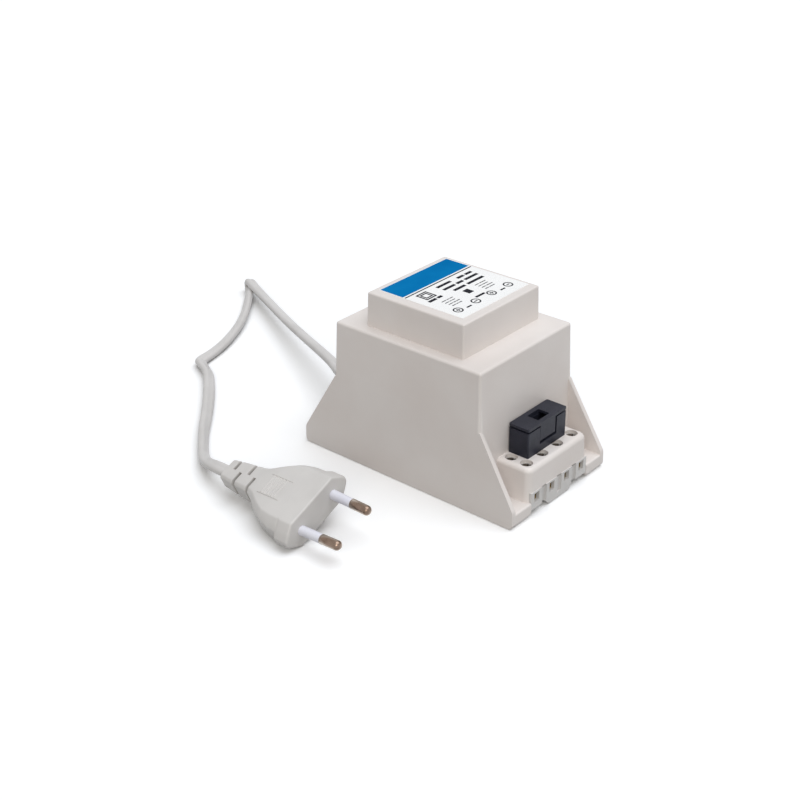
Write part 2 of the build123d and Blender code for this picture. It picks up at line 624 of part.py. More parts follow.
def coil_layers():
    """Primary, insulation and secondary, each wound on the one before."""
    layers = []
    y, z = TUBE_Y, TUBE_Z
    for build in (PRIMARY_BUILD, INSULATION_BUILD, SECONDARY_BUILD):
        layers.append(coil_ring(y, z, build, BOBBIN_LENGTH - 2 * BOBBIN_WALL))
        y, z = y + 2 * build, z + 2 * build
    return layers


def thermal_cutout():
    return Pos(0, 0, COIL_TOP + CUTOUT_SIZE[2] / 2) * Box(*CUTOUT_SIZE)


def bridge_rectifier():
    return Pos(0, RECTIFIER_Y, WIRE_AXIS) * Box(*RECTIFIER_SIZE)


def secondary_leads():
    """Two leads from the rectifier's top up to the coil's front side."""
    top = WIRE_AXIS + RECTIFIER_SIZE[2] / 2
    leads = []
    for x in POLE_X[1:-1]:
        route = [(x, RECTIFIER_Y, top), (x, RECTIFIER_Y, COIL_LEAD_Z), (x, -COIL_Y, COIL_LEAD_Z)]
        leads.append(lead(route, LEAD_D))
    return Compound(children=leads)


def relief_back():
    """Where the relief's inner flange ends, measured along its axis from the wall's outside."""
    return -(WALL * math.cos(math.radians(BODY_DRAFT)) + RELIEF_FLANGE_THICKNESS)


def primary_leads():
    """The cord's two cores, from the relief's inner flange up to the coil's rear side."""
    start = relief_frame().from_local_coords(Vector(0, -CORE_LEAD_D / 2, relief_back())).Y
    bend = COIL_Y + CORE_LEAD_STANDOFF
    leads = []
    for x in (-CORE_LEAD_SPACING / 2, CORE_LEAD_SPACING / 2):
        route = [(x, start, RELIEF_HEIGHT), (x, bend, RELIEF_HEIGHT), (x, bend, COIL_LEAD_Z),
                 (x, COIL_Y, COIL_LEAD_Z)]
        leads.append(lead(route, CORE_LEAD_D))
    return Compound(children=leads)


def cord_relief():
    """A moulded boot that clips into the wall, with a tapering tail that is slotted to bend."""
    flange = Rectangle(*(side + 2 * RELIEF_LIP for side in RELIEF_NECK))
    relief = Pos(0, 0, relief_back()) * extrude(flange, RELIEF_FLANGE_THICKNESS)
    relief += Pos(0, 0, relief_back()) * extrude(Rectangle(*RELIEF_NECK), -relief_back())
    relief += extrude(flange, RELIEF_FLANGE_THICKNESS)
    tail = extrude(Rectangle(*RELIEF_TAIL_ROOT), RELIEF_TAIL_LENGTH, taper=RELIEF_TAIL_TAPER)
    tail = chamfer(tail.edges().filter_by_position(Axis.Z, PAST, RELIEF_TAIL_LENGTH - PAST), RELIEF_TAIL_EDGE)
    for i in range(RELIEF_SLOTS):
        at = (i + 0.5) * RELIEF_SLOT_PITCH
        for side in (-1, 1):
            across = sorted((side * RELIEF_SLOT_CORE / 2, side * RELIEF_TAIL_ROOT[0]))
            tail -= span_box(across, (-RELIEF_TAIL_ROOT[1], RELIEF_TAIL_ROOT[1]),
                             (at, at + RELIEF_SLOT_WIDTH))
    relief += Pos(0, 0, RELIEF_FLANGE_THICKNESS) * tail
    return relief_frame().location * relief


def potting_resin():
    """The cast fill: the whole hollow above its level, less everything that is set in it."""
    resin = housing_cavity()
    resin -= Box(2 * BODY_FOOT_WIDTH, 2 * BODY_FOOT_LENGTH, 2 * RESIN_LEVEL)
    resin -= Pos(0, 0, CORE_MID) * Box(5 * CORE_MODULE, 6 * CORE_MODULE, CORE_STACK)
    resin -= Pos(0, 0, CORE_MID) * Box(BOBBIN_LENGTH, BOBBIN_WIDTH, BOBBIN_HEIGHT)
    for piece in (thermal_cutout(), bridge_rectifier(), cord_relief()):
        resin -= piece
    for group in (output_leads(), secondary_leads(), primary_leads()):
        for one in group.solids():
            resin -= one
    return resin


def plug_frame():
    """The plug's own frame: Y runs from the pin face back to the cord, Z is the plug's top."""
    return Location(PLUG_FACE, (0, 0, PLUG_TURN)) * Location((0, 0, 0), (PLUG_PITCH, PLUG_ROLL, 0))


def plug_section(at, width, height, share):
    """Corners of a flattened section, with a share of the full double bevel at each side."""
    x, z = width / 2, height / 2
    side = [(x - share * inset, z - share * drop) for inset, drop in PLUG_CORNER]
    side += [(px, -pz) for px, pz in reversed(side)]
    return [Vector(px, at, pz) for px, pz in side + [(-px, pz) for px, pz in reversed(side)]]


def flat_sided(sections):
    """A solid with flat faces between sections of equally many corners, and an end on each side."""
    faces = [Face(Wire.make_polygon(sections[0])), Face(Wire.make_polygon(sections[-1]))]
    for near, far in zip(sections, sections[1:]):
        for i in range(len(near)):
            faces.append(Face(Wire.make_polygon([near[i - 1], near[i], far[i], far[i - 1]])))
    return Solid(Shell(faces))


def plug_body():
    """Ears round the pin face, a waist that narrows to the neck, and a slotted collar round the cord."""
    full = (PLUG_WIDTH, PLUG_THICKNESS, 1.0)
    ear = flat_sided([plug_section(0, *full), plug_section(EAR_DEPTH, *full)])
    ear = chamfer(ear.faces().sort_by(Axis.Y)[0].edges(), EAR_BEVEL)
    body = ear + flat_sided([plug_section(*station) for station in PLUG_STATIONS])
    root = Plane((0, PLUG_NECK_AT - PAST, 0), x_dir=(1, 0, 0), z_dir=(0, 1, 0))
    collar = extrude(root * Rectangle(*COLLAR_ROOT), COLLAR_LENGTH + PAST, taper=COLLAR_TAPER)
    ridges = collar.edges().filter_by_position(Axis.Y, PLUG_NECK_AT, PLUG_NECK_AT + COLLAR_LENGTH - PAST)
    body += chamfer(ridges, COLLAR_BEVEL)
    for i in range(SLOT_COUNT):
        body -= collar_slot(i)
    body -= grip_pocket()
    for side in (-1, 1):
        body -= pin_root(side, -PIN_ROOT, PAST)
    return body


def grip_pocket():
    """The shallow thumb patch on top of the plug, with ribs left standing across its rear half."""
    floor = WAIST_START[1] / 2 - GRIP_DEPTH
    half = GRIP_WIDTH / 2
    end = GRIP_START + GRIP_LENGTH
    pocket = span_box((-half, half), (GRIP_START, end), (floor, floor + PLUG_THICKNESS))
    for i in range(GRIP_RIBS):
        at = end - (i + 1) * GRIP_PITCH
        pocket -= span_box((-half, half), (at, at + GRIP_RIB), (floor, floor + PLUG_THICKNESS))
    return pocket


def collar_slot(index):
    """One flexing slot: it runs over the top, the side and the bottom of one half of the collar, in turn."""
    at = PLUG_NECK_AT + SLOT_FIRST + index * SLOT_PITCH
    half_x, half_z = (side / 2 - lean(at - PLUG_NECK_AT, COLLAR_TAPER) for side in COLLAR_ROOT)
    side = 1 if index % 2 else -1
    span = (at, at + SLOT_WIDTH)
    core_x, core_z = half_x - SLOT_DEPTH, half_z - SLOT_DEPTH
    ring = span_box(sorted((side * SLOT_START, side * 2 * half_x)), span, (-2 * half_z, 2 * half_z))
    return ring - span_box((-core_x, core_x), span, (-core_z, core_z))


def pin_ends(side, start, end):
    """Two points on one pin's axis, which leans in towards the tip. Distances are from the pin face."""
    drift = (PIN_SPACING - PIN_TIP_SPACING) / 2 / PIN_LENGTH
    return [Vector(side * (PIN_SPACING / 2 - drift * d), -d, 0) for d in (start, end)]


def pin_root(side, start, end):
    """A square bar along one pin's axis."""
    a, b = pin_ends(side, start, end)
    return extrude(Plane(a, z_dir=b - a) * Rectangle(PIN_ROOT_SIDE, PIN_ROOT_SIDE), (b - a).length)


def plug_pin(side):
    """A metal pin: a thin square root in the plug, and a full-width blunt tip beyond the sleeve."""
    tip = rod(*pin_ends(side, SLEEVE_LENGTH, PIN_LENGTH), PIN_D)
    tip = chamfer(tip.faces().sort_by(Axis.Y)[0].edges(), PIN_NOSE)
    return tip + pin_root(side, -PIN_ROOT, SLEEVE_LENGTH)


def pin_sleeve(side):
    """The insulating sleeve on a pin, from the pin face to the bare tip."""
    sleeve = facet_bar(*pin_ends(side, SLEEVE_GAP, SLEEVE_LENGTH), SLEEVE_D, SLEEVE_SIDES)
    return sleeve - pin_root(side, 0, SLEEVE_LENGTH)


def cord_route():
    """The lead's route from relief to plug: out, down to the floor, a tight fold, a kink, and back."""
    exit_plane = relief_frame()
    exit_point = exit_plane.from_local_coords(Vector(0, 0, RELIEF_FLANGE_THICKNESS + RELIEF_TAIL_LENGTH))
    entry = plug_frame() * Pos(0, PLUG_NECK_AT + COLLAR_LENGTH, 0)
    before = plug_frame() * Pos(0, PLUG_NECK_AT + COLLAR_LENGTH + CORD_END_RUN, 0)
    floor_points = [(67.2, 186.9), (62.0, 190.0), (50.4, 173.2), (39.0, 163.0), (23.6, 152.4), (9.3, 145.2),
                    (-3.4, 141.2), (-13.0, 138.8), (-17.4, 129.4), (-26.9, 117.0), (-52.7, 91.9),
                    (-63.0, 81.2), (-69.1, 73.5)]
    route = [exit_point, exit_point + exit_plane.z_dir * CORD_END_RUN, (9.3, 75.5, 13.6), (16.0, 90.0, 11.3),
             (38.0, 134.2, 6.4)]
    route += [(x, y, CORD_FLOOR) for x, y in floor_points]
    route += [(-74.0, 67.0, 3.9), before.position, entry.position]
    return [Vector(*p) if isinstance(p, tuple) else p for p in route]


def mains_cord():
    """A plain six-sided tube along the route, with every bend as wide as its two runs allow."""
    route = cord_route()
    radii = []
    for a, b, c in zip(route, route[1:], route[2:]):
        turn = math.radians((b - a).get_angle(c - b))
        radii.append(RUN_SHARE * min((b - a).length, (c - b).length) / math.tan(turn / 2))
    path = FilletPolyline(*route, radius=radii)
    print("cord bend radii", [round(r, 1) for r in radii])
    section = Plane(route[0], z_dir=route[1] - route[0]) * RegularPolygon(CORD_D / 2, CORD_SIDES)
    cord = sweep(section, path)
    print("cord length", round(path.length, 1), "volume", round(cord.volume), "section times length",
          round(path.length * section.area))
    return cord


def all_nodes():
    """Every piece by name."""
    primary, insulation, secondary = coil_layers()
    nodes = {
        "housing": housing(),
        "rating_label": rating_label(),
        "potting_resin": potting_resin(),
        "core_e_stack": core_e_stack(),
        "core_i_stack": core_i_stack(),
        "bobbin": bobbin(),
        "primary_winding": primary,
        "winding_insulation": insulation,
        "secondary_winding": secondary,
        "thermal_cutout": thermal_cutout(),
        "bridge_rectifier": bridge_rectifier(),
        "primary_leads": primary_leads(),
        "secondary_leads": secondary_leads(),
        "output_leads": output_leads(),
        "terminal_strip": terminal_strip(),
        "terminal_tubes": terminal_tubes(),
        "lead_screws": lead_screws(),
        "fuse_base": fuse_base(),
        "fuse_carrier": fuse_carrier(),
        "fuse_clip_left": fuse_clip(-1),
        "fuse_clip_right": fuse_clip(1),
        "fuse_glass": fuse_glass(),
        "fuse_caps": fuse_caps(),
        "fuse_wire": fuse_wire(),
        "cord_relief": cord_relief(),
        "mains_cord": mains_cord(),
        "plug_body": plug_frame() * plug_body(),
    }
    for i, x in enumerate(POLE_X, 1):
        nodes[f"terminal_screw_{i}"] = terminal_screw(x, FRONT_SCREW_Y, SCREW_TIP)
    for name, side in (("left", -1), ("right", 1)):
        nodes[f"plug_pin_{name}"] = plug_frame() * plug_pin(side)
        nodes[f"pin_sleeve_{name}"] = plug_frame() * pin_sleeve(side)
    return nodes


os.makedirs("parts", exist_ok=True)
for name, piece in all_nodes().items():
    export_step(piece, f"parts/{name}.step")
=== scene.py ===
# %% [markdown]
# # A step-down transformer with its cord and plug
# The object is a moulded housing round an iron core, with screw terminals and a fuse at one end and a
# flat mains cord with a two-pin plug at the other. The solids come packed from the CAD model and stay
# where they are. This lesson gives each of them its finish, and makes the pieces that plain solids
# can't show well: the flat cord, the soft plug, the turned pins and the print on the label.

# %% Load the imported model
import math

import bpy
import numpy as np
from mathutils import Matrix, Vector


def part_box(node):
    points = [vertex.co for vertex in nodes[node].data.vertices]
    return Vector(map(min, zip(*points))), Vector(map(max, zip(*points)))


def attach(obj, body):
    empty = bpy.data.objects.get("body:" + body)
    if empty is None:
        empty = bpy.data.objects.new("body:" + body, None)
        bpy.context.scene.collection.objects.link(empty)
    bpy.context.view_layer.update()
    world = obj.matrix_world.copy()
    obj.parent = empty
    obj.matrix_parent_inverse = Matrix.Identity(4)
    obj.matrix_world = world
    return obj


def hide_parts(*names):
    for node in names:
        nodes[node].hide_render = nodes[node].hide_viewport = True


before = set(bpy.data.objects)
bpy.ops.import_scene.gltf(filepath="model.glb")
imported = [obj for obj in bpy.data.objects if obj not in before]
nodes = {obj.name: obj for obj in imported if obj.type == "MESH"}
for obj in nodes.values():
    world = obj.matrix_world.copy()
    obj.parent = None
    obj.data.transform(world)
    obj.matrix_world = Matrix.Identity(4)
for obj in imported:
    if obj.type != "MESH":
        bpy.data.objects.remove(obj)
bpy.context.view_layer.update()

# %% [markdown]
# ## Camera
# The picture was taken from the left front, a little above. A camera can be aimed with a constraint,
# but here its three axes are known, so they are written straight into its matrix: right, up and back,
# the last one pointing from the object to the lens.

# %% Camera
AZIMUTH, ELEVATION, ROLL = np.radians([-49.124, 28.308, 0.555])
EYE = (-0.377532, -0.298823, 0.283815)
LENS = 61.07

back = np.array([np.sin(AZIMUTH) * np.cos(ELEVATION), -np.cos(AZIMUTH) * np.cos(ELEVATION), np.sin(ELEVATION)])
level = np.array([np.cos(AZIMUTH), np.sin(AZIMUTH), 0.0])
upright = np.cross(back, level)
right = np.cos(ROLL) * level - np.sin(ROLL) * upright
up = np.cos(ROLL) * upright + np.sin(ROLL) * level

camera = bpy.data.objects.new("camera", bpy.data.cameras.new("camera"))
camera.data.lens = LENS
camera.data.sensor_width = 36.0
camera.data.clip_start = 0.01
pose = np.eye(4)
pose[:3, :3] = np.column_stack([right, up, back])
pose[:3, 3] = EYE
camera.matrix_world = Matrix(pose.tolist())
bpy.context.scene.collection.objects.link(camera)
bpy.context.scene.camera = camera
print("camera looks along", np.round(-back, 3))

# %% [markdown]
# ## Floor and light
# The object stands on a plain white floor in soft light from above. The world is a white dome that
# the camera and the shiny surfaces see at full strength, while it lights the object at a quarter of that.
# A wide sun from above makes level faces lighter than upright ones, and a weaker one from the front
# reaches into the corners. The floor is white to the camera and grey to every other ray, or it would
# light the sides from below.

# %% Floor and light
DOME, DOME_LIGHT = 1.0, 0.28
# Each sun: strength, where it shines from, its spread in degrees and its tint.
SUNS = {
    "high_sun": (1.72, (0.14, -0.20, 1.0), 60.0, (0.935, 0.97, 1.02)),
    "front_sun": (0.98, (-0.62, -0.50, 0.50), 40.0, (1.0, 0.97, 0.92)),
}
FLOOR_SEEN, FLOOR_LIT = 1.1, 0.40


def link(tree, source, target):
    """Join an output socket to an input socket."""
    tree.links.new(source, target)


def seen_by_eye(tree):
    """1 for rays that come from the camera, a mirror or glass, and 0 for those that only carry light."""
    path = tree.nodes.new("ShaderNodeLightPath")
    first = tree.nodes.new("ShaderNodeMath")
    first.operation = "MAXIMUM"
    second = tree.nodes.new("ShaderNodeMath")
    second.operation = "MAXIMUM"
    link(tree, path.outputs["Is Camera Ray"], first.inputs[0])
    link(tree, path.outputs["Is Glossy Ray"], first.inputs[1])
    link(tree, first.outputs[0], second.inputs[0])
    link(tree, path.outputs["Is Transmission Ray"], second.inputs[1])
    return second.outputs[0]


def between(tree, low, high, share):
    """A number that goes from low to high with a share from 0 to 1."""
    mix = tree.nodes.new("ShaderNodeMapRange")
    mix.inputs["To Min"].default_value = low
    mix.inputs["To Max"].default_value = high
    link(tree, share, mix.inputs["Value"])
    return mix.outputs["Result"]


world = bpy.data.worlds.new("white_dome")
world.use_nodes = True
bpy.context.scene.world = world
dome = world.node_tree.nodes["Background"]
dome.inputs["Color"].default_value = (1, 1, 1, 1)
link(world.node_tree, between(world.node_tree, DOME_LIGHT, DOME, seen_by_eye(world.node_tree)),
     dome.inputs["Strength"])


def add_sun(name, strength, shines_from, spread, tint):
    """A sun lamp. A lamp shines down its own z axis, so that axis is turned to where the light comes from."""
    lamp = bpy.data.objects.new(name, bpy.data.lights.new(name, "SUN"))
    lamp.data.energy = strength
    lamp.data.angle = math.radians(spread)
    lamp.data.color = tint
    toward = np.array(shines_from) / np.linalg.norm(shines_from)
    side = np.cross((0.0, 1.0, 0.0), toward)
    side /= np.linalg.norm(side)
    turn = np.eye(4)
    turn[:3, :3] = np.column_stack([side, np.cross(toward, side), toward])
    lamp.matrix_world = Matrix(turn.tolist())
    bpy.context.scene.collection.objects.link(lamp)


for name, (strength, shines_from, spread, tint) in SUNS.items():
    add_sun(name, strength, shines_from, spread, tint)

FLOOR_HALF, FLOOR_Z = 3.0, -0.0002
floor_mesh = bpy.data.meshes.new("floor")
floor_mesh.from_pydata([(-FLOOR_HALF, -FLOOR_HALF, FLOOR_Z), (FLOOR_HALF, -FLOOR_HALF, FLOOR_Z),
                        (FLOOR_HALF, FLOOR_HALF, FLOOR_Z), (-FLOOR_HALF, FLOOR_HALF, FLOOR_Z)], [], [(0, 1, 2, 3)])
floor = bpy.data.objects.new("floor", floor_mesh)
bpy.context.scene.collection.objects.link(floor)
floor_paint = bpy.data.materials.new("white_floor")
floor_paint.use_nodes = True
tree = floor_paint.node_tree
tree.nodes.remove(tree.nodes["Principled BSDF"])
matt = tree.nodes.new("ShaderNodeBsdfDiffuse")
link(tree, between(tree, FLOOR_LIT, FLOOR_SEEN, seen_by_eye(tree)), matt.inputs["Color"])
link(tree, matt.outputs[0], tree.nodes["Material Output"].inputs["Surface"])
floor_mesh.materials.append(floor_paint)
bpy.context.scene.view_settings.view_transform = "Standard"
print("suns", list(SUNS), "dome", DOME_LIGHT)

# %% [markdown]
# ## Meshes from arrays
# Every new piece is a grid of points: rows along the piece and columns round it. One helper turns
# such a grid into a closed mesh. Its faces are worked out with whole arrays, so no loop visits the
# points. A second helper puts the finished piece in the scene and says what it rides on.

# %% Grid helpers
MM = 0.001


def ring_faces(rows, columns, close_rows=False):
    """Faces of a tube: square (r, c) joins row r to row r + 1 and column c to column c + 1, wrapped round.

    Without close_rows the first and last rows get a flat end of their own."""
    r = np.arange(rows if close_rows else rows - 1)[:, None]
    c = np.arange(columns)[None, :]
    after_r, after_c = (r + 1) % rows, (c + 1) % columns
    corners = [r * columns + c, r * columns + after_c, after_r * columns + after_c, after_r * columns + c]
    faces = np.stack([np.broadcast_to(k, (len(r), columns)) for k in corners], axis=-1).reshape(-1, 4).tolist()
    if not close_rows:
        faces.append(list(range(columns - 1, -1, -1)))
        faces.append(list(range((rows - 1) * columns, rows * columns)))
    return faces


def add_piece(name, points, faces, material, slot, crease=32.0, body="transformer"):
    """A smooth mesh object from points in metres, with edges sharper than the crease angle kept sharp."""
    mesh = bpy.data.meshes.new(name)
    mesh.from_pydata(np.asarray(points).reshape(-1, 3).tolist(), [], faces)
    mesh.polygons.foreach_set("use_smooth", np.ones(len(mesh.polygons), dtype=bool))
    mesh.set_sharp_from_angle(angle=math.radians(crease))
    mesh.materials.append(material)
    mesh.update()
    piece = bpy.data.objects.new(name, mesh)
    bpy.context.scene.collection.objects.link(piece)
    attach(piece, body)
    print(name, "points", len(mesh.vertices), "faces", len(mesh.polygons))
    return piece


# %% [markdown]
# ## Moulded plastic
# Most of the surface is plastic from a mould. Up close it is never one flat colour: there are slow
# clouds of lighter and darker tone, and a fine grain that breaks up the gloss. Both are noise at two
# sizes, so they go into one node group that every plastic uses with its own colours and sizes.

# %% Node group for moulded plastic
def new_group(name, inputs, outputs):
    """An empty node group with named sockets. Inputs are (name, kind, value), outputs are (name, kind)."""
    group = bpy.data.node_groups.new(name, "ShaderNodeTree")
    for label, kind, value in inputs:
        group.interface.new_socket(label, in_out="INPUT", socket_type=kind).default_value = value
    for label, kind in outputs:
        group.interface.new_socket(label, in_out="OUTPUT", socket_type=kind)
    return group, group.nodes.new("NodeGroupInput"), group.nodes.new("NodeGroupOutput")


def noise(tree, scale, detail=2.0, vector=None):
    """Noise on Object coordinates, in features per metre. The scale is a number or a socket."""
    node = tree.nodes.new("ShaderNodeTexNoise")
    node.inputs["Detail"].default_value = detail
    if vector is None:
        vector = tree.nodes.new("ShaderNodeTexCoord").outputs["Object"]
    link(tree, vector, node.inputs["Vector"])
    if isinstance(scale, (int, float)):
        node.inputs["Scale"].default_value = scale
    else:
        link(tree, scale, node.inputs["Scale"])
    return node.outputs["Fac"]


def ramp(tree, value, low, high, to_low=0.0, to_high=1.0):
    """Stretch a value from low..high to to_low..to_high, held at the ends."""
    node = tree.nodes.new("ShaderNodeMapRange")
    for label, number in (("From Min", low), ("From Max", high), ("To Min", to_low), ("To Max", to_high)):
        node.inputs[label].default_value = number
    link(tree, value, node.inputs["Value"])
    return node.outputs["Result"]


def blend_colours(tree, share, first, second):
    """Mix two colours by a share. The colours are sockets or four numbers."""
    node = tree.nodes.new("ShaderNodeMix")
    node.data_type = "RGBA"
    link(tree, share, node.inputs["Factor"])
    for place, colour in ((6, first), (7, second)):
        if isinstance(colour, tuple):
            node.inputs[place].default_value = colour
        else:
            link(tree, colour, node.inputs[place])
    return node.outputs[2]


def sum_of(tree, first, second, operation="ADD"):
    """A sum, or another operation, of two sockets or numbers."""
    node = tree.nodes.new("ShaderNodeMath")
    node.operation = operation
    for place, value in ((0, first), (1, second)):
        if isinstance(value, (int, float)):
            node.inputs[place].default_value = value
        else:
            link(tree, value, node.inputs[place])
    return node.outputs[0]


COLOUR, NUMBER = "NodeSocketColor", "NodeSocketFloat"
skin, skin_in, skin_out = new_group(
    "moulded_skin",
    [("Colour", COLOUR, (0.8, 0.8, 0.8, 1)), ("Cloud colour", COLOUR, (0.7, 0.7, 0.7, 1)),
     ("Clouds per metre", NUMBER, 40.0), ("Grains per metre", NUMBER, 2500.0), ("Roughness", NUMBER, 0.45)],
    [("Colour", COLOUR), ("Roughness", NUMBER), ("Height", NUMBER)])
cloud = noise(skin, skin_in.outputs["Clouds per metre"], 4.0)
grain = noise(skin, skin_in.outputs["Grains per metre"], 3.0)
link(skin, blend_colours(skin, ramp(skin, cloud, 0.35, 0.75), skin_in.outputs["Colour"],
                         skin_in.outputs["Cloud colour"]), skin_out.inputs["Colour"])
gloss = sum_of(skin, skin_in.outputs["Roughness"], ramp(skin, grain, 0.3, 0.7, -0.06, 0.06))
link(skin, sum_of(skin, gloss, ramp(skin, cloud, 0.3, 0.7, -0.04, 0.04)), skin_out.inputs["Roughness"])
link(skin, sum_of(skin, grain, cloud), skin_out.inputs["Height"])
print("group", skin.name, "nodes", len(skin.nodes))

# %% [markdown]
# ## Bare metal
# Screws, clamps and pins are turned or pressed from bare metal. They show fine marks and a thin
# patchy tarnish. The marks are noise that is squeezed along one direction. The group is shared
# by steel, brass, nickel, copper and iron, each with its own pair of colours.

# %% Node group for bare metal
marks, marks_in, marks_out = new_group(
    "worked_metal",
    [("Colour", COLOUR, (0.8, 0.8, 0.8, 1)), ("Tarnish", COLOUR, (0.5, 0.5, 0.5, 1)),
     ("Tarnish share", NUMBER, 0.5), ("Roughness", NUMBER, 0.25)],
    [("Colour", COLOUR), ("Roughness", NUMBER), ("Height", NUMBER)])
squeeze = marks.nodes.new("ShaderNodeMapping")
squeeze.inputs["Scale"].default_value = (1.0, 0.12, 1.0)
link(marks, marks.nodes.new("ShaderNodeTexCoord").outputs["Object"], squeeze.inputs["Vector"])
streak = noise(marks, 5200.0, 2.0, squeeze.outputs["Vector"])
patch = noise(marks, 420.0, 4.0)
dull = sum_of(marks, ramp(marks, patch, 0.4, 0.7), marks_in.outputs["Tarnish share"], "MULTIPLY")
link(marks, blend_colours(marks, dull, marks_in.outputs["Colour"], marks_in.outputs["Tarnish"]),
     marks_out.inputs["Colour"])
worn = sum_of(marks, marks_in.outputs["Roughness"], ramp(marks, streak, 0.3, 0.7, -0.05, 0.08))
link(marks, sum_of(marks, worn, ramp(marks, patch, 0.4, 0.7, 0.0, 0.10)), marks_out.inputs["Roughness"])
link(marks, streak, marks_out.inputs["Height"])
print("group", marks.name, "nodes", len(marks.nodes))

# %% [markdown]
# ## Materials
# A material here is a Principled shader with one of the two groups in front of it. What is the same
# all over the surface, such as the metal switch or the glass, is set on the shader itself. What
# changes over the surface comes out of the group: colour, roughness and the height for the bump.

# %% Material makers
def rgba(red, green, blue):
    """A colour as a screen shows it, 0 to 255, turned into the linear numbers that the shader wants."""
    share = np.array([red, green, blue]) / 255.0
    linear = np.where(share <= 0.04045, share / 12.92, ((share + 0.055) / 1.055) ** 2.4)
    return (*[float(c) for c in linear], 1.0)


def surface(name, group, values, bump, depth, **sockets):
    """A material: group values in front of a Principled shader, with a bump of some depth in metres."""
    material = bpy.data.materials.new(name)
    material.use_nodes = True
    tree = material.node_tree
    shader = tree.nodes["Principled BSDF"]
    node = tree.nodes.new("ShaderNodeGroup")
    node.node_tree = group
    for label, value in values.items():
        node.inputs[label].default_value = value
    link(tree, node.outputs["Colour"], shader.inputs["Base Color"])
    link(tree, node.outputs["Roughness"], shader.inputs["Roughness"])
    lift = tree.nodes.new("ShaderNodeBump")
    lift.inputs["Strength"].default_value = bump
    lift.inputs["Distance"].default_value = depth
    link(tree, node.outputs["Height"], lift.inputs["Height"])
    link(tree, lift.outputs["Normal"], shader.inputs["Normal"])
    for label, value in sockets.items():
        shader.inputs[label.replace("_", " ")].default_value = value
    return material


def plastic(name, colour, cloud_colour, roughness=0.45, clouds=40.0, grains=2500.0, bump=0.25, **sockets):
    """Moulded plastic, film or resin."""
    values = {"Colour": colour, "Cloud colour": cloud_colour, "Clouds per metre": clouds,
              "Grains per metre": grains, "Roughness": roughness}
    return surface(name, skin, values, bump, 0.00005, **sockets)


def metal(name, colour, tarnish, share=0.5, roughness=0.25, bump=0.15):
    """Bare metal with marks and tarnish."""
    values = {"Colour": colour, "Tarnish": tarnish, "Tarnish share": share, "Roughness": roughness}
    return surface(name, marks, values, bump, 0.00002, Metallic=1.0)


housing_plastic = plastic("housing_plastic", rgba(231, 225, 221), rgba(224, 216, 211), 0.42, 30.0, 1800.0, 0.30)
label_film = plastic("label_film", rgba(252, 252, 251), rgba(247, 247, 247), 0.28, 60.0, 3000.0, 0.05)
resin = plastic("resin", rgba(46, 38, 34), rgba(30, 25, 23), 0.22, 90.0, 700.0, 0.40)
bobbin_nylon = plastic("bobbin_nylon", rgba(222, 216, 198), rgba(206, 198, 176), 0.40)
tape = plastic("tape", rgba(226, 190, 76), rgba(208, 168, 58), 0.30, 120.0, 3500.0, 0.20)
black_case = plastic("black_case", rgba(44, 44, 46), rgba(34, 34, 36), 0.50)
lead_pvc = plastic("lead_pvc", rgba(60, 92, 150), rgba(48, 76, 132), 0.40)
strip_plastic = plastic("strip_plastic", rgba(214, 212, 210), rgba(205, 203, 201), 0.38, 80.0, 3200.0, 0.20)
fuse_plastic = plastic("fuse_plastic", rgba(38, 40, 52), rgba(28, 30, 40), 0.46, 150.0, 2600.0, 0.35,
                       Specular_IOR_Level=0.3)
cord_pvc = plastic("cord_pvc", rgba(210, 207, 205), rgba(199, 196, 193), 0.34, 60.0, 2200.0, 0.20)
plug_plastic = plastic("plug_plastic", rgba(211, 208, 205), rgba(201, 198, 195), 0.42, 70.0, 2400.0, 0.30)
sleeve_nylon = plastic("sleeve_nylon", rgba(230, 230, 238), rgba(219, 219, 230), 0.30, 200.0, 4000.0, 0.10)


def paint_slot_shade(material, attribute, shade):
    """Plastic with painted shade in the slots: the base colour darkens towards a shade colour with a point attribute
    from 0 to 1, which says how deep in a slot the surface is.
    """
    tree = material.node_tree
    shader = tree.nodes["Principled BSDF"]
    depth = tree.nodes.new("ShaderNodeAttribute")
    depth.attribute_name = attribute
    source = shader.inputs["Base Color"].links[0].from_socket
    link(tree, blend_colours(tree, depth.outputs["Fac"], source, shade), shader.inputs["Base Color"])


# Painted shade: the plug's slots are darkened in its base colour, as if they lay in shadow.
paint_slot_shade(plug_plastic, "slot_painted_shade", rgba(92, 82, 66))
print("plastics made:", len(bpy.data.materials))

# %% Metal and glass
brass = metal("brass", rgba(222, 202, 152), rgba(184, 158, 106), 0.6, 0.50)
screw_steel = metal("screw_steel", rgba(112, 102, 92), rgba(76, 68, 60), 0.6, 0.40)
# The nickel's brown colour is partly the pins' own tone and partly painted reflection: darkened to stand in for dark
# surroundings mirrored in the pins.
nickel = metal("nickel", rgba(136, 117, 104), rgba(98, 80, 68), 0.6, 0.16)
fuse_glass = plastic("fuse_glass", rgba(250, 252, 252), rgba(240, 246, 246), 0.08, 200.0, 900.0, 0.02,
                     Transmission_Weight=1.0, IOR=1.5)


def paint_rim_reflection(material, reflection_colour):
    """Metal with a painted reflection: its base colour is paler where it is seen at a slant, standing in for the
    bright room that a polished rod shows at its sides.
    """
    tree = material.node_tree
    shader = tree.nodes["Principled BSDF"]
    slant = tree.nodes.new("ShaderNodeLayerWeight")
    slant.inputs["Blend"].default_value = 0.5
    source = shader.inputs["Base Color"].links[0].from_socket
    link(tree, blend_colours(tree, ramp(tree, slant.outputs["Facing"], 0.35, 0.85), source, reflection_colour),
         shader.inputs["Base Color"])


# Painted reflection: the pins' base colour turns pale towards their sides.
paint_rim_reflection(nickel, rgba(236, 228, 218))


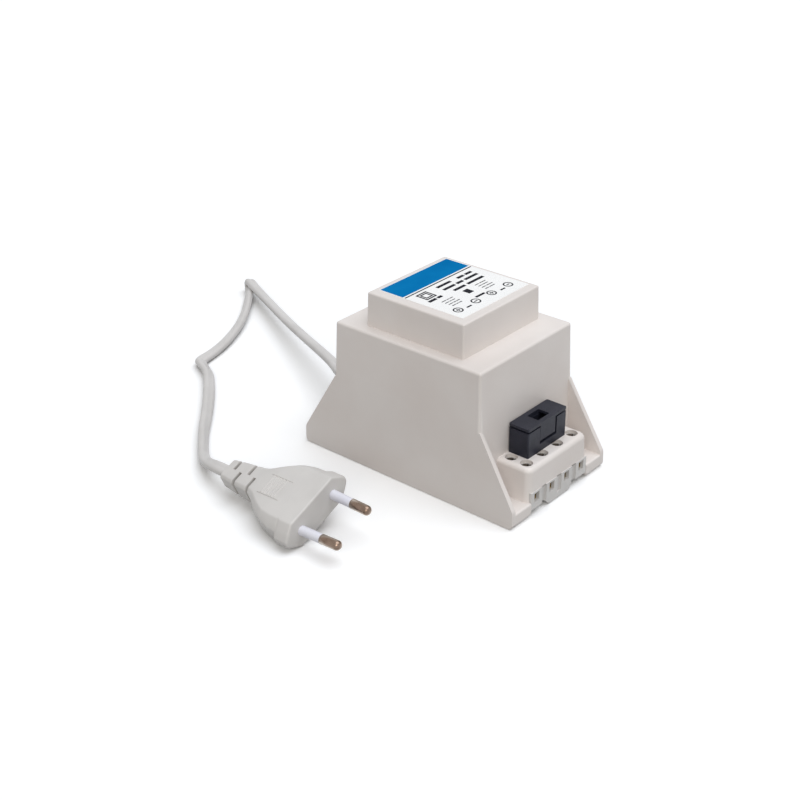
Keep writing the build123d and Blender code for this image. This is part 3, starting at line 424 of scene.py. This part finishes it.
def layered(name, colour, groove, axis, pitch, roughness):
    """Metal in thin layers: bands across one axis, a pitch apart, darker and lower in the grooves.

    Each band is a sine of the coordinate along the axis, 2 pi for every pitch."""
    material = metal(name, colour, groove, 0.4, roughness)
    tree = material.node_tree
    shader = tree.nodes["Principled BSDF"]
    split = tree.nodes.new("ShaderNodeSeparateXYZ")
    link(tree, tree.nodes.new("ShaderNodeTexCoord").outputs["Object"], split.inputs[0])
    wave = sum_of(tree, sum_of(tree, split.outputs[axis], 2 * math.pi / pitch, "MULTIPLY"), 0.0, "SINE")
    band = ramp(tree, wave, -1.0, -0.4)
    source = shader.inputs["Base Color"].links[0].from_socket
    link(tree, blend_colours(tree, band, groove, source), shader.inputs["Base Color"])
    lift = shader.inputs["Normal"].links[0].from_node
    lift.inputs["Distance"].default_value = 0.0001
    lift.inputs["Strength"].default_value = 0.6
    link(tree, band, lift.inputs["Height"])
    return material


core_iron = layered("core_iron", rgba(134, 136, 140), rgba(62, 60, 60), "Z", 0.0005, 0.40)
copper = layered("copper", rgba(196, 110, 66), rgba(96, 46, 26), "X", 0.0006, 0.28)
print("materials made:", len(bpy.data.materials))

# %% [markdown]
# ## Finish of the solids
# Each solid keeps its own mesh. Its triangles are loose, so a small chain of geometry nodes joins
# them and smooths every edge that is less than a set angle, while the sharper ones stay sharp. It
# works on a copy that Blender makes for display, so the solid itself isn't touched.

# %% Smooth display of the solids
WELD_WITHIN = 0.000002
SHARP_FROM = 30.0


def smooth_by_angle(name, degrees):
    """Geometry nodes: weld the triangles, shade all faces smooth, and keep edges over an angle sharp."""
    group = bpy.data.node_groups.new(name, "GeometryNodeTree")
    group.interface.new_socket("Geometry", in_out="INPUT", socket_type="NodeSocketGeometry")
    group.interface.new_socket("Geometry", in_out="OUTPUT", socket_type="NodeSocketGeometry")
    begin, end = group.nodes.new("NodeGroupInput"), group.nodes.new("NodeGroupOutput")
    weld = group.nodes.new("GeometryNodeMergeByDistance")
    weld.inputs["Distance"].default_value = WELD_WITHIN
    faces = group.nodes.new("GeometryNodeSetShadeSmooth")
    faces.domain = "FACE"
    edges = group.nodes.new("GeometryNodeSetShadeSmooth")
    edges.domain = "EDGE"
    angle = group.nodes.new("GeometryNodeInputMeshEdgeAngle")
    limit = group.nodes.new("FunctionNodeCompare")
    limit.data_type = "FLOAT"
    limit.operation = "LESS_EQUAL"
    limit.inputs["B"].default_value = math.radians(degrees)
    group.links.new(begin.outputs[0], weld.inputs["Geometry"])
    group.links.new(weld.outputs["Geometry"], faces.inputs["Geometry"])
    group.links.new(faces.outputs["Geometry"], edges.inputs["Geometry"])
    group.links.new(angle.outputs["Unsigned Angle"], limit.inputs["A"])
    group.links.new(limit.outputs["Result"], edges.inputs["Shade Smooth"])
    group.links.new(edges.outputs["Geometry"], end.inputs[0])
    return group


solid_display = smooth_by_angle("solid_display", SHARP_FROM)

FINISH = {
    "housing": housing_plastic, "rating_label": label_film, "terminal_strip": strip_plastic,
    "terminal_tubes": brass, "lead_screws": screw_steel, "output_leads": lead_pvc,
    "fuse_base": fuse_plastic, "fuse_carrier": fuse_plastic, "fuse_clip_left": brass, "fuse_clip_right": brass,
    "fuse_glass": fuse_glass, "fuse_caps": nickel, "fuse_wire": nickel, "core_e_stack": core_iron,
    "core_i_stack": core_iron, "bobbin": bobbin_nylon, "primary_winding": copper, "winding_insulation": tape,
    "secondary_winding": copper, "thermal_cutout": black_case, "bridge_rectifier": black_case,
    "primary_leads": lead_pvc, "secondary_leads": lead_pvc, "potting_resin": resin, "cord_relief": cord_pvc,
    "mains_cord": cord_pvc, "plug_body": plug_plastic, "plug_pin_left": nickel, "plug_pin_right": nickel,
    "pin_sleeve_left": sleeve_nylon, "pin_sleeve_right": sleeve_nylon,
    **{f"terminal_screw_{i}": screw_steel for i in (1, 2, 3, 4)},
}
for name, node in nodes.items():
    node.data.materials.clear()
    node.data.materials.append(FINISH[name])
    node.modifiers.new("display", "NODES").node_group = solid_display
    node.modifiers.new("flat_faces", "WEIGHTED_NORMAL").keep_sharp = True
print("solids finished:", len(nodes), "without a finish:", sorted(set(nodes) - set(FINISH)))

# %% [markdown]
# ## The plug's place
# The plug lies on its side edge next to the housing, rolled over by about twenty degrees. Its own
# axes make the shapes simple: x across the pins, y back from the pin face along the cord, z up
# through the thickness. One small function carries points from there to the shared frame.

# %% The plug's own axes
PLUG_FACE = np.array([-79.6, -0.2, 10.6])
PLUG_PITCH, PLUG_ROLL, PLUG_TURN = np.radians([-1.9, -22.4, -0.2])
COLLAR_END, CORD_END_RUN = 47.2, 8.0


def turn_about(axis, angle):
    """Rotation matrix about one of the axes 0, 1 or 2."""
    c, s = np.cos(angle), np.sin(angle)
    matrix = np.eye(3)
    i, j = (axis + 1) % 3, (axis + 2) % 3
    matrix[i, i], matrix[j, j], matrix[i, j], matrix[j, i] = c, c, -s, s
    return matrix


PLUG_AXES = turn_about(2, PLUG_TURN) @ turn_about(0, PLUG_PITCH) @ turn_about(1, PLUG_ROLL)


def from_plug(points):
    """Points in the plug's own millimetres, carried to the shared frame in metres."""
    return (np.asarray(points) @ PLUG_AXES.T + PLUG_FACE) * MM


print("cord enters the plug at", np.round(from_plug([(0, COLLAR_END, 0)])[0], 4))

# %% [markdown]
# ## The cord's line
# The flat cord leaves the housing at the back, sinks slowly on its way out, folds back sharply under
# itself, and comes round to the plug along the floor. Its line is a NURBS curve whose control points
# follow that route. A curve can carry a round bevel, but this cord is flat and lies flat in some
# places and on its edge in others, so the curve only gives the line, and a section is carried along
# it afterwards.

# %% Route of the cord
# Each row: x, y and z in millimetres, and how far the flat side is turned from level, in degrees. Where
# z is given as 0 the cord lies on the floor.
CORD_ROUTE = np.array([
    (0.0, 58.663, 14.675, 0), (1.4, 62.8, 15.3, 4), (6.0, 70.9, 15.5, 10), (12.2, 82.9, 14.1, 16),
    (22.2, 103.6, 11.5, 20), (32.7, 125.4, 9.2, 22), (43.7, 147.3, 7.4, 22), (54.4, 168.9, 6.1, 20),
    (59.6, 179.6, 5.9, 16), (61.4, 183.1, 5.9, 14), (61.9, 183.8, 0, 30), (59.4, 181.2, 0, 42),
    (55.9, 177.5, 0, 50), (51.8, 174.0, 0, 54), (39.6, 163.4, 0, 48), (31.1, 157.2, 0, 40),
    (23.6, 152.4, 0, 29), (9.3, 145.2, 0, 16), (-3.4, 141.2, 0, 6), (-12.4, 139.6, 0, -14),
    (-14.2, 136.2, 0, -34), (-16.6, 131.2, 0, -42), (-18.8, 126.8, 0, -40), (-22.6, 122.2, 0, -36),
    (-27.8, 116.4, 0, -31), (-34.5, 109.3, 0, -29), (-46.1, 97.9, 0, -38), (-52.7, 91.9, 0, -50),
    (-58.9, 85.8, 0, -60), (-63.9, 80.4, 0, -62), (-69.5, 74.0, 0, -52), (-74.4, 67.0, 4.1, -14)])
CORD_LOBE, CORD_LOBE_APART, CORD_CLEAR = 1.7, 1.0, 0.1
LINE_STEPS = 18

route_twist = np.radians(CORD_ROUTE[:, 3])
resting = CORD_LOBE + CORD_LOBE_APART * np.abs(np.sin(route_twist)) + CORD_CLEAR
loose = np.column_stack([CORD_ROUTE[:, :2], np.maximum(CORD_ROUTE[:, 2], resting)]) * MM
entry = from_plug([(0, COLLAR_END + CORD_END_RUN, 0), (0, COLLAR_END, 0)])
route = np.concatenate([loose, entry])
twist = np.concatenate([route_twist, [-PLUG_ROLL, -PLUG_ROLL]])

curve = bpy.data.curves.new("cord_line", "CURVE")
curve.dimensions = "3D"
curve.resolution_u = LINE_STEPS
spline = curve.splines.new("NURBS")
spline.points.add(len(route) - 1)
spline.points.foreach_set("co", np.column_stack([route, np.ones(len(route))]).ravel())
spline.order_u = 3
spline.use_endpoint_u = True
holder = bpy.data.objects.new("cord_line", curve)
line_mesh = bpy.data.meshes.new_from_object(holder)
line = np.zeros(len(line_mesh.vertices) * 3)
line_mesh.vertices.foreach_get("co", line)
line = line.reshape(-1, 3)
bpy.data.objects.remove(holder)
bpy.data.meshes.remove(line_mesh)
bpy.data.curves.remove(curve)
cord_length = np.linalg.norm(np.diff(line, axis=0), axis=1).sum()
print("cord line points", len(line), "length", round(float(cord_length), 4))

# %% [markdown]
# ## The flat cord
# The cord is two insulated cores moulded side by side, so its section is two round lobes with a
# shallow valley between them. The section is carried along the line. At each route point the level
# and the twist say where the flat side points, between lying flat and standing on its edge. Between the
# points that direction is blended, and kept square to the line.

# %% Sweep the cord's section
# The valley between the cores: its depth as a share of the lobe, and its half width in millimetres.
VALLEY_DEPTH, VALLEY_WIDTH = 0.13, 0.55
TURN_SMOOTHING = 19


def smooth_run(values, width):
    """A running average with a bell-shaped window, held at the ends."""
    window = np.hanning(width + 2)[1:-1]
    padded = np.pad(values, width // 2, mode="edge")
    return np.convolve(padded, window / window.sum(), mode="valid")[:len(values)]


def unit(vectors):
    """Vectors cut or stretched to length 1."""
    return vectors / np.linalg.norm(vectors, axis=-1, keepdims=True)


def flat_sides(route, twist):
    """Where the flat side points at each route point: cos(twist) level + sin(twist) over.

    Turned by half a turn the section looks the same, so each direction takes the sign that suits the one before."""
    ahead = np.gradient(route, axis=0)
    level = unit(np.cross((0.0, 0.0, 1.0), ahead))
    over = unit(np.cross(ahead, level))
    side = np.cos(twist)[:, None] * level + np.sin(twist)[:, None] * over
    same_way = np.sign((side[1:] * side[:-1]).sum(axis=1))
    return side * np.cumprod(np.concatenate([[1.0], same_way]))[:, None]


def flat_cord(line, side, columns=44):
    """Section x = apart * tanh(3 cos t) + lobe * cos t, z = lobe * sin t less the valley, along the line."""
    t = np.linspace(0, 2 * np.pi, columns, endpoint=False)
    across = CORD_LOBE_APART * np.tanh(3 * np.cos(t)) + CORD_LOBE * np.cos(t)
    thick = CORD_LOBE * np.sin(t) * (1 - VALLEY_DEPTH * np.exp(-(across / VALLEY_WIDTH) ** 2))
    ahead = unit(np.gradient(line, axis=0))
    wide = unit(side - (side * ahead).sum(axis=1, keepdims=True) * ahead)
    high = np.cross(ahead, wide)
    return line[:, None] + MM * (across[None, :, None] * wide[:, None] + thick[None, :, None] * high[:, None])


spans = len(route) - 2
knots = np.concatenate([[0.0], np.arange(spans) + 0.5, [spans]])
along = np.linspace(0, spans, len(line))
sides = np.column_stack([smooth_run(np.interp(along, knots, part), TURN_SMOOTHING)
                         for part in flat_sides(route, twist).T])
cord_points = flat_cord(line, sides)
cord = add_piece("flat_cord", cord_points, ring_faces(*cord_points.shape[:2]), cord_pvc, "cord_pvc", 60.0)
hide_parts("mains_cord")

# %% [markdown]
# ## The plug
# The plug is one moulding: two ears round the pin face, a waist that narrows to the neck, and a slotted
# collar that lets the cord bend. It could be sculpted, but every cross-section is a flat-topped outline
# with two bevels at each corner, so a table of width, thickness and bevel down the length gives the
# whole form. Each corner is rounded by a small Bezier arc. In the slots the section is drawn in, and a
# point attribute keeps how deep the surface lies there, so that the material paints shade into the slots.

# %% Plug shell
# Distance behind the face, width, thickness, and the share of the full corner bevel.
PLUG_TABLE = np.array([
    (7.3, 31.8, 12.95, 0.72), (12.0, 31.0, 12.85, 0.64), (17.0, 28.2, 12.7, 0.52), (22.0, 23.0, 12.4, 0.50),
    (26.0, 17.2, 11.8, 0.42), (28.6, 14.0, 11.0, 0.34), (30.4, 12.7, 10.2, 0.26), (36.0, 11.65, 9.25, 0.22),
    (42.0, 10.7, 8.3, 0.20), (COLLAR_END, 9.6, 7.4, 0.20)])
EAR_WIDTH, EAR_THICKNESS, EAR_END, EAR_ROUND, SHOULDER = 35.3, 13.0, 6.8, 0.8, 0.6
CORNER = np.array([(5.5, 0.0), (2.2, 2.8), (0.0, 5.2)])
CORNER_ROUND = 0.6
SLOT_AT, SLOT_SIDE = 29.9 + 4.1 * np.arange(4), np.array([-1, 1, -1, 1])
SLOT_WIDTH, SLOT_KEPT, SLOT_FROM = 1.45, 0.34, (0.05, 0.30)
RIM_KEPT, SHADE_RATE = 0.95, 6.0
LIP, ROW_STEP, ROW_SMOOTHING = 0.45, 0.1, 31


def plug_rows():
    """Rows of (distance, width, thickness, bevel share): rounded ears, then the waist and collar, smoothed."""
    bend = np.linspace(0, np.pi / 2, 7)
    inset = 2 * EAR_ROUND * (1 - np.sin(bend))
    full = np.ones_like(bend)
    front = np.column_stack([EAR_ROUND * (1 - np.cos(bend)), EAR_WIDTH - inset, EAR_THICKNESS - inset, full])
    rear = np.column_stack([EAR_END - SHOULDER * (1 - np.sin(bend)), EAR_WIDTH - 2 * SHOULDER * (1 - np.cos(bend)),
                            EAR_THICKNESS * full, full])
    s = np.arange(PLUG_TABLE[0, 0], COLLAR_END - LIP, ROW_STEP)
    smooth = [smooth_run(np.interp(s, PLUG_TABLE[:, 0], PLUG_TABLE[:, k]), ROW_SMOOTHING) for k in (1, 2, 3)]
    rims = np.array([-0.25, -0.1, -0.02, 0.02])
    edges = SLOT_AT[:, None] + np.concatenate([rims, SLOT_WIDTH - rims])
    keep = np.sort(np.concatenate([s[::4], edges.ravel()]))
    waist = np.column_stack([keep] + [np.interp(keep, s, values) for values in smooth])
    lip = waist[-1] + np.outer(np.sin(bend), (LIP, 0, 0, 0)) - np.outer(1 - np.cos(bend), (0, 2 * LIP, 2 * LIP, 0))
    return np.concatenate([front, rear, waist, lip[1:]])


def rounded_sections(rows, steps=5):
    """Outline of each row, from the top clockwise, with corner P rounded as (1-u)^2 A + 2u(1-u) P + u^2 B.

    A and B lie on the two edges at P, CORNER_ROUND away or nearly half the edge."""
    half = rows[:, None, 1:3] / 2
    top = np.stack([np.stack([np.full(len(rows), x), half[:, 0, 1]], axis=-1) for x in SLOT_FROM], axis=1)
    quarter = np.concatenate([top, half - rows[:, None, 3:] * CORNER], axis=1)
    right = np.concatenate([quarter, quarter[:, ::-1] * (1, -1)], axis=1)
    corners = np.concatenate([right, right[:, ::-1] * (-1, 1)], axis=1)
    u = np.linspace(0, 1, steps)[:, None]
    ends = []
    for shift in (1, -1):
        edge = np.roll(corners, shift, axis=1) - corners
        length = np.linalg.norm(edge, axis=-1, keepdims=True)
        ends.append((corners + edge * np.minimum(CORNER_ROUND / length, 0.45))[:, :, None])
    points = (1 - u) ** 2 * ends[0] + 2 * u * (1 - u) * corners[:, :, None] + u ** 2 * ends[1]
    return points.reshape(len(rows), -1, 2)


rows = plug_rows()
x, z = np.moveaxis(rounded_sections(rows), -1, 0)
beyond = np.abs(rows[:, :1] - SLOT_AT - SLOT_WIDTH / 2) - SLOT_WIDTH / 2
drawn_in = np.interp(beyond, (-0.02, 0.02, 0.10, 0.25), (SLOT_KEPT, RIM_KEPT, 0.985, 1.0))
on_side = x[:, :, None] * SLOT_SIDE > np.mean(SLOT_FROM)
shrink = np.where(on_side, drawn_in[:, None, :], 1.0).min(axis=2)
shell = np.stack([x * shrink, np.broadcast_to(rows[:, :1], x.shape), z * shrink], axis=-1)
plug = add_piece("plug_shell", from_plug(shell), ring_faces(*shell.shape[:2]), plug_plastic, "plug_plastic", 38.0)
# Painted shade for the slots: the further the surface is drawn in, the darker the material paints it.
slot_painted_shade = plug.data.attributes.new("slot_painted_shade", "FLOAT", "POINT")
slot_painted_shade.data.foreach_set("value", np.clip(SHADE_RATE * (RIM_KEPT - shrink), 0, 1).ravel())
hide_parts("plug_body")

# %% [markdown]
# ## Thumb patch on the plug
# On the plug's top a few thin ribs and two border lines give the thumb a hold. They are raised by a
# third of a millimetre, so they are one thin pad that follows the plug's own surface, with its
# height worked out from the distance to the nearest rib or line. The pad sinks into the plug elsewhere.

# %% Thumb patch
# The pad's reach along and across the plug, its sink and rise, and its depth under the surface.
PAD_ALONG, PAD_ACROSS = (12.6, 24.4), (-6.2, 4.7)
PAD_SINK, PAD_RISE, PAD_DEPTH = 0.16, 0.50, 0.7
RIBS, RIB_WIDTH, RIB_FROM, RIB_TO = 15.6 + 1.7 * np.arange(5), 0.24, -4.9, 3.6
BORDERS, BORDER_WIDTH, BORDER_FROM, BORDER_TO = np.array([-5.35, 3.9]), 0.26, 13.0, 24.0


def thumb_pad(count_y=170, count_x=90):
    """Height over the plug's top: rise * bell((y - rib) / width) for each rib, the same across x for the borders."""
    y = np.linspace(*PAD_ALONG, count_y)[:, None]
    across = np.linspace(*PAD_ACROSS, count_x)[None, :]
    top = np.interp(y, rows[:, 0], rows[:, 2]) / 2
    rib = np.exp(-((y[:, :, None] - RIBS) / RIB_WIDTH) ** 2).max(axis=2)
    rib = rib * ((across > RIB_FROM) & (across < RIB_TO))
    border = np.exp(-((across[:, :, None] - BORDERS) / BORDER_WIDTH) ** 2).max(axis=2)
    border = border * ((y > BORDER_FROM) & (y < BORDER_TO))
    height = PAD_RISE * np.maximum(rib, border) - PAD_SINK
    upper = np.stack(np.broadcast_arrays(across, y, top + height), axis=-1)
    lower = upper - np.array([0.0, 0.0, PAD_DEPTH])
    return np.concatenate([upper, lower[:, ::-1]], axis=1)


pad = thumb_pad()
thumb = add_piece("thumb_pad", from_plug(pad), ring_faces(*pad.shape[:2]), plug_plastic, "plug_plastic", 60.0)

# %% [markdown]
# ## Pins and sleeves
# The pins are turned: a profile of distance and radius goes once round an axis. Their bare tips have
# rounded noses, and the white sleeves leave only those tips open. The two axes lean towards each
# other by a fraction of a millimetre, as on real two-pin plugs.

# %% Turned pins and sleeves
PIN_HALF_SPACING, PIN_TIP_HALF_SPACING, PIN_REACH = 9.3, 8.75, 19.0
PIN_RADIUS, PIN_CORE, NOSE_LENGTH, NOSE_FLAT = 2.0, 1.05, 1.7, 0.35
SLEEVE_END, SLEEVE_ROOT, SLEEVE_TIP, SLEEVE_BORE, SLEEVE_BEVEL = 10.0, 1.95, 1.86, 1.1, 0.35


def turned(side, profile, columns=48):
    """Points (d, r) of a profile spun round one pin's axis: centre(d) + r (cos t, sin t) across the axis."""
    profile = np.asarray(profile, dtype=float)
    d, r = profile[:, :1], profile[:, 1:]
    t = np.linspace(0, 2 * np.pi, columns, endpoint=False)[None, :]
    lean = (PIN_HALF_SPACING - PIN_TIP_HALF_SPACING) / PIN_REACH
    centre = side * (PIN_HALF_SPACING - lean * d)
    return np.stack(np.broadcast_arrays(centre + r * np.cos(t), -d, r * np.sin(t)), axis=-1)


nose = np.linspace(0, np.pi / 2, 9)[:-1]
pin_profile = np.concatenate([
    [(0.1, PIN_CORE), (SLEEVE_END - 0.05, PIN_CORE), (SLEEVE_END + 0.02, PIN_RADIUS - 0.06),
     (SLEEVE_END + 0.10, PIN_RADIUS), (14.0, PIN_RADIUS)],
    np.column_stack([PIN_REACH - NOSE_LENGTH * (1 - np.sin(nose)),
                     NOSE_FLAT + (PIN_RADIUS - NOSE_FLAT) * np.cos(nose)]),
    [(PIN_REACH, NOSE_FLAT - 0.02), (PIN_REACH, 0.05)]])
sleeve_profile = [(0.06, SLEEVE_BORE), (0.06, SLEEVE_ROOT), (SLEEVE_END / 2, 1.92),
                  (SLEEVE_END - SLEEVE_BEVEL, SLEEVE_TIP), (SLEEVE_END - 0.1, SLEEVE_TIP - 0.1),
                  (SLEEVE_END, SLEEVE_TIP - SLEEVE_BEVEL), (SLEEVE_END, SLEEVE_BORE)]
cord_pieces = [plug, thumb, nodes["cord_relief"]]
for side, label in ((-1, "left"), (1, "right")):
    points = turned(side, pin_profile)
    pin = add_piece(f"turned_pin_{label}", from_plug(points), ring_faces(*points.shape[:2]), nickel, "nickel", 50.0)
    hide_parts(f"plug_pin_{label}")
    points = turned(side, sleeve_profile)
    sleeve = add_piece(f"turned_sleeve_{label}", from_plug(points), ring_faces(*points.shape[:2], close_rows=True),
                       sleeve_nylon, "sleeve_nylon", 40.0)
    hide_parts(f"pin_sleeve_{label}")
    cord_pieces += [pin, sleeve]

# %% [markdown]
# ## Print on the label
# The label is a white film with a blue band along one side and dark print below it. The print here
# is plain: bars in the places of the lines of print, a square in a square, and circled plus and minus
# signs for the terminals. Ink has almost no thickness, so every mark is a slab a fiftieth of a
# millimetre high. All slabs of one ink are one mesh.

# %% Label print
INK_HEIGHT = 0.02
label_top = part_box("rating_label")[1].z / MM
ink_blue = plastic("ink_blue", rgba(14, 123, 186), rgba(10, 113, 176), 0.50, 90.0, 3000.0, 0.05,
                   Specular_IOR_Level=0.0)
ink_dark = plastic("ink_dark", rgba(46, 46, 52), rgba(60, 60, 66), 0.55, 400.0, 3000.0, 0.05,
                   Specular_IOR_Level=0.0)


def slabs(boxes):
    """Points and faces of flat boxes, given as rows of x from, x to, y from, y to in millimetres."""
    boxes = np.asarray(boxes, dtype=float)
    x, y = boxes[:, [0, 1, 1, 0]], boxes[:, [2, 2, 3, 3]]
    low = np.stack([x, y, np.full_like(x, label_top)], axis=-1)
    points = np.concatenate([low, low + [0, 0, INK_HEIGHT]], axis=1)
    faces = np.array([(3, 2, 1, 0), (4, 5, 6, 7), (0, 1, 5, 4), (1, 2, 6, 5), (2, 3, 7, 6), (3, 0, 4, 7)])
    return points.reshape(-1, 3), (faces[None] + 8 * np.arange(len(boxes))[:, None, None]).reshape(-1, 4)


def rings(places, radius, line_width, columns=40):
    """Flat rings: four rows round each centre, in and out, below and above."""
    t = np.linspace(0, 2 * np.pi, columns, endpoint=False)
    r = np.array([radius - line_width, radius, radius, radius - line_width])[:, None]
    h = label_top + np.array([0, 0, INK_HEIGHT, INK_HEIGHT])[:, None]
    one = np.stack(np.broadcast_arrays(r * np.cos(t), r * np.sin(t), h), axis=-1).reshape(-1, 3)
    centres = np.column_stack([places, np.zeros(len(places))])
    points = (one[None] + centres[:, None]).reshape(-1, 3)
    faces = np.array(ring_faces(4, columns, close_rows=True))[:, ::-1]
    return points, (faces[None] + len(one) * np.arange(len(places))[:, None, None]).reshape(-1, 4)


def joined(*parts):
    """Several sets of points and faces as one."""
    starts = np.cumsum([0] + [len(points) for points, _ in parts[:-1]])
    faces = np.concatenate([faces + start for (_, faces), start in zip(parts, starts)])
    return np.concatenate([points for points, _ in parts]) * MM, faces.tolist()


def words(x_from, x_to, y, height, shares):
    """A line of print as bars: the shares of the line's length that are printed and left free, in turn."""
    ends = x_from + (x_to - x_from) * np.cumsum([0, *shares]) / np.sum(shares)
    return [(a, b, y - height / 2, y + height / 2) for a, b in zip(ends[0:-1:2], ends[1::2])]


def frames(cx, cy, outer, inner):
    """The four bars of a square frame round a centre, between two half sizes."""
    return [(cx - outer, cx + outer, cy + inner, cy + outer), (cx - outer, cx + outer, cy - outer, cy - inner),
            (cx - outer, cx - inner, cy - inner, cy + inner), (cx + inner, cx + outer, cy - inner, cy + inner)]


# Places in millimetres on the label. Bars are x from, x to, y from and y to, and a line of print is x from,
# x to, its middle's y, its height and the shares that are printed and left free.
BAND = [(-19.2, 21.3, 9.4, 20.8)]
SQUARE = (-12.2, 3.6)
SIGNS = np.array([(-14.7, -13.9), (-4.0, -13.9), (5.8, -13.9), (16.3, -13.9)])
lines = [(-19.2, 21.3, 7.95, 8.60)]
lines += words(-3.9, 4.6, 5.2, 1.5, (1,)) + words(8.4, 17.4, 5.0, 1.5, (4, 0.8, 4))
lines += words(-3.9, 17.3, 1.9, 1.5, (7, 1, 4, 1, 8)) + words(-1.7, 16.6, -1.5, 1.5, (7, 1.4, 10))
lines += words(-16.2, -8.4, -1.0, 1.5, (5, 0.8, 3))
for k in range(4):
    lines += words(-13.2, -6.6 - 0.8 * (k % 2), -4.8 - 1.7 * k, 0.45, (5, 0.7, 3, 0.6, 4))
    lines += words(7.4, 14.0 - 0.7 * (k % 2), -4.6 - 1.7 * k, 0.45, (4, 0.6, 6))
lines += words(-10.9, -8.0, -15.0, 0.8, (1,)) + words(10.0, 12.9, -15.0, 0.8, (1,))
lines += words(-0.1, 2.9, -6.0, 3.6, (1,)) + words(-1.3, 4.2, -11.8, 1.2, (1,))
lines += frames(*SQUARE, 3.0, 2.3) + frames(*SQUARE, 1.9, 1.25)
lines += [(sx - 0.95, sx + 0.95, sy - 0.25, sy + 0.25) for sx, sy in SIGNS]
lines += [(sx - 0.25, sx + 0.25, sy + d, sy + d + 0.7) for sx, sy in SIGNS[::2] for d in (0.25, -0.95)]
add_piece("label_band", *joined(slabs(BAND)), ink_blue, "label_film")
add_piece("label_print", *joined(slabs(lines), rings(SIGNS, 2.1, 0.6)), ink_dark, "label_film")

# %% [markdown]
# ## Last update
# The view layer is updated once more, so that every object's place is worked out.

# %% Update the view layer
bpy.context.view_layer.update()
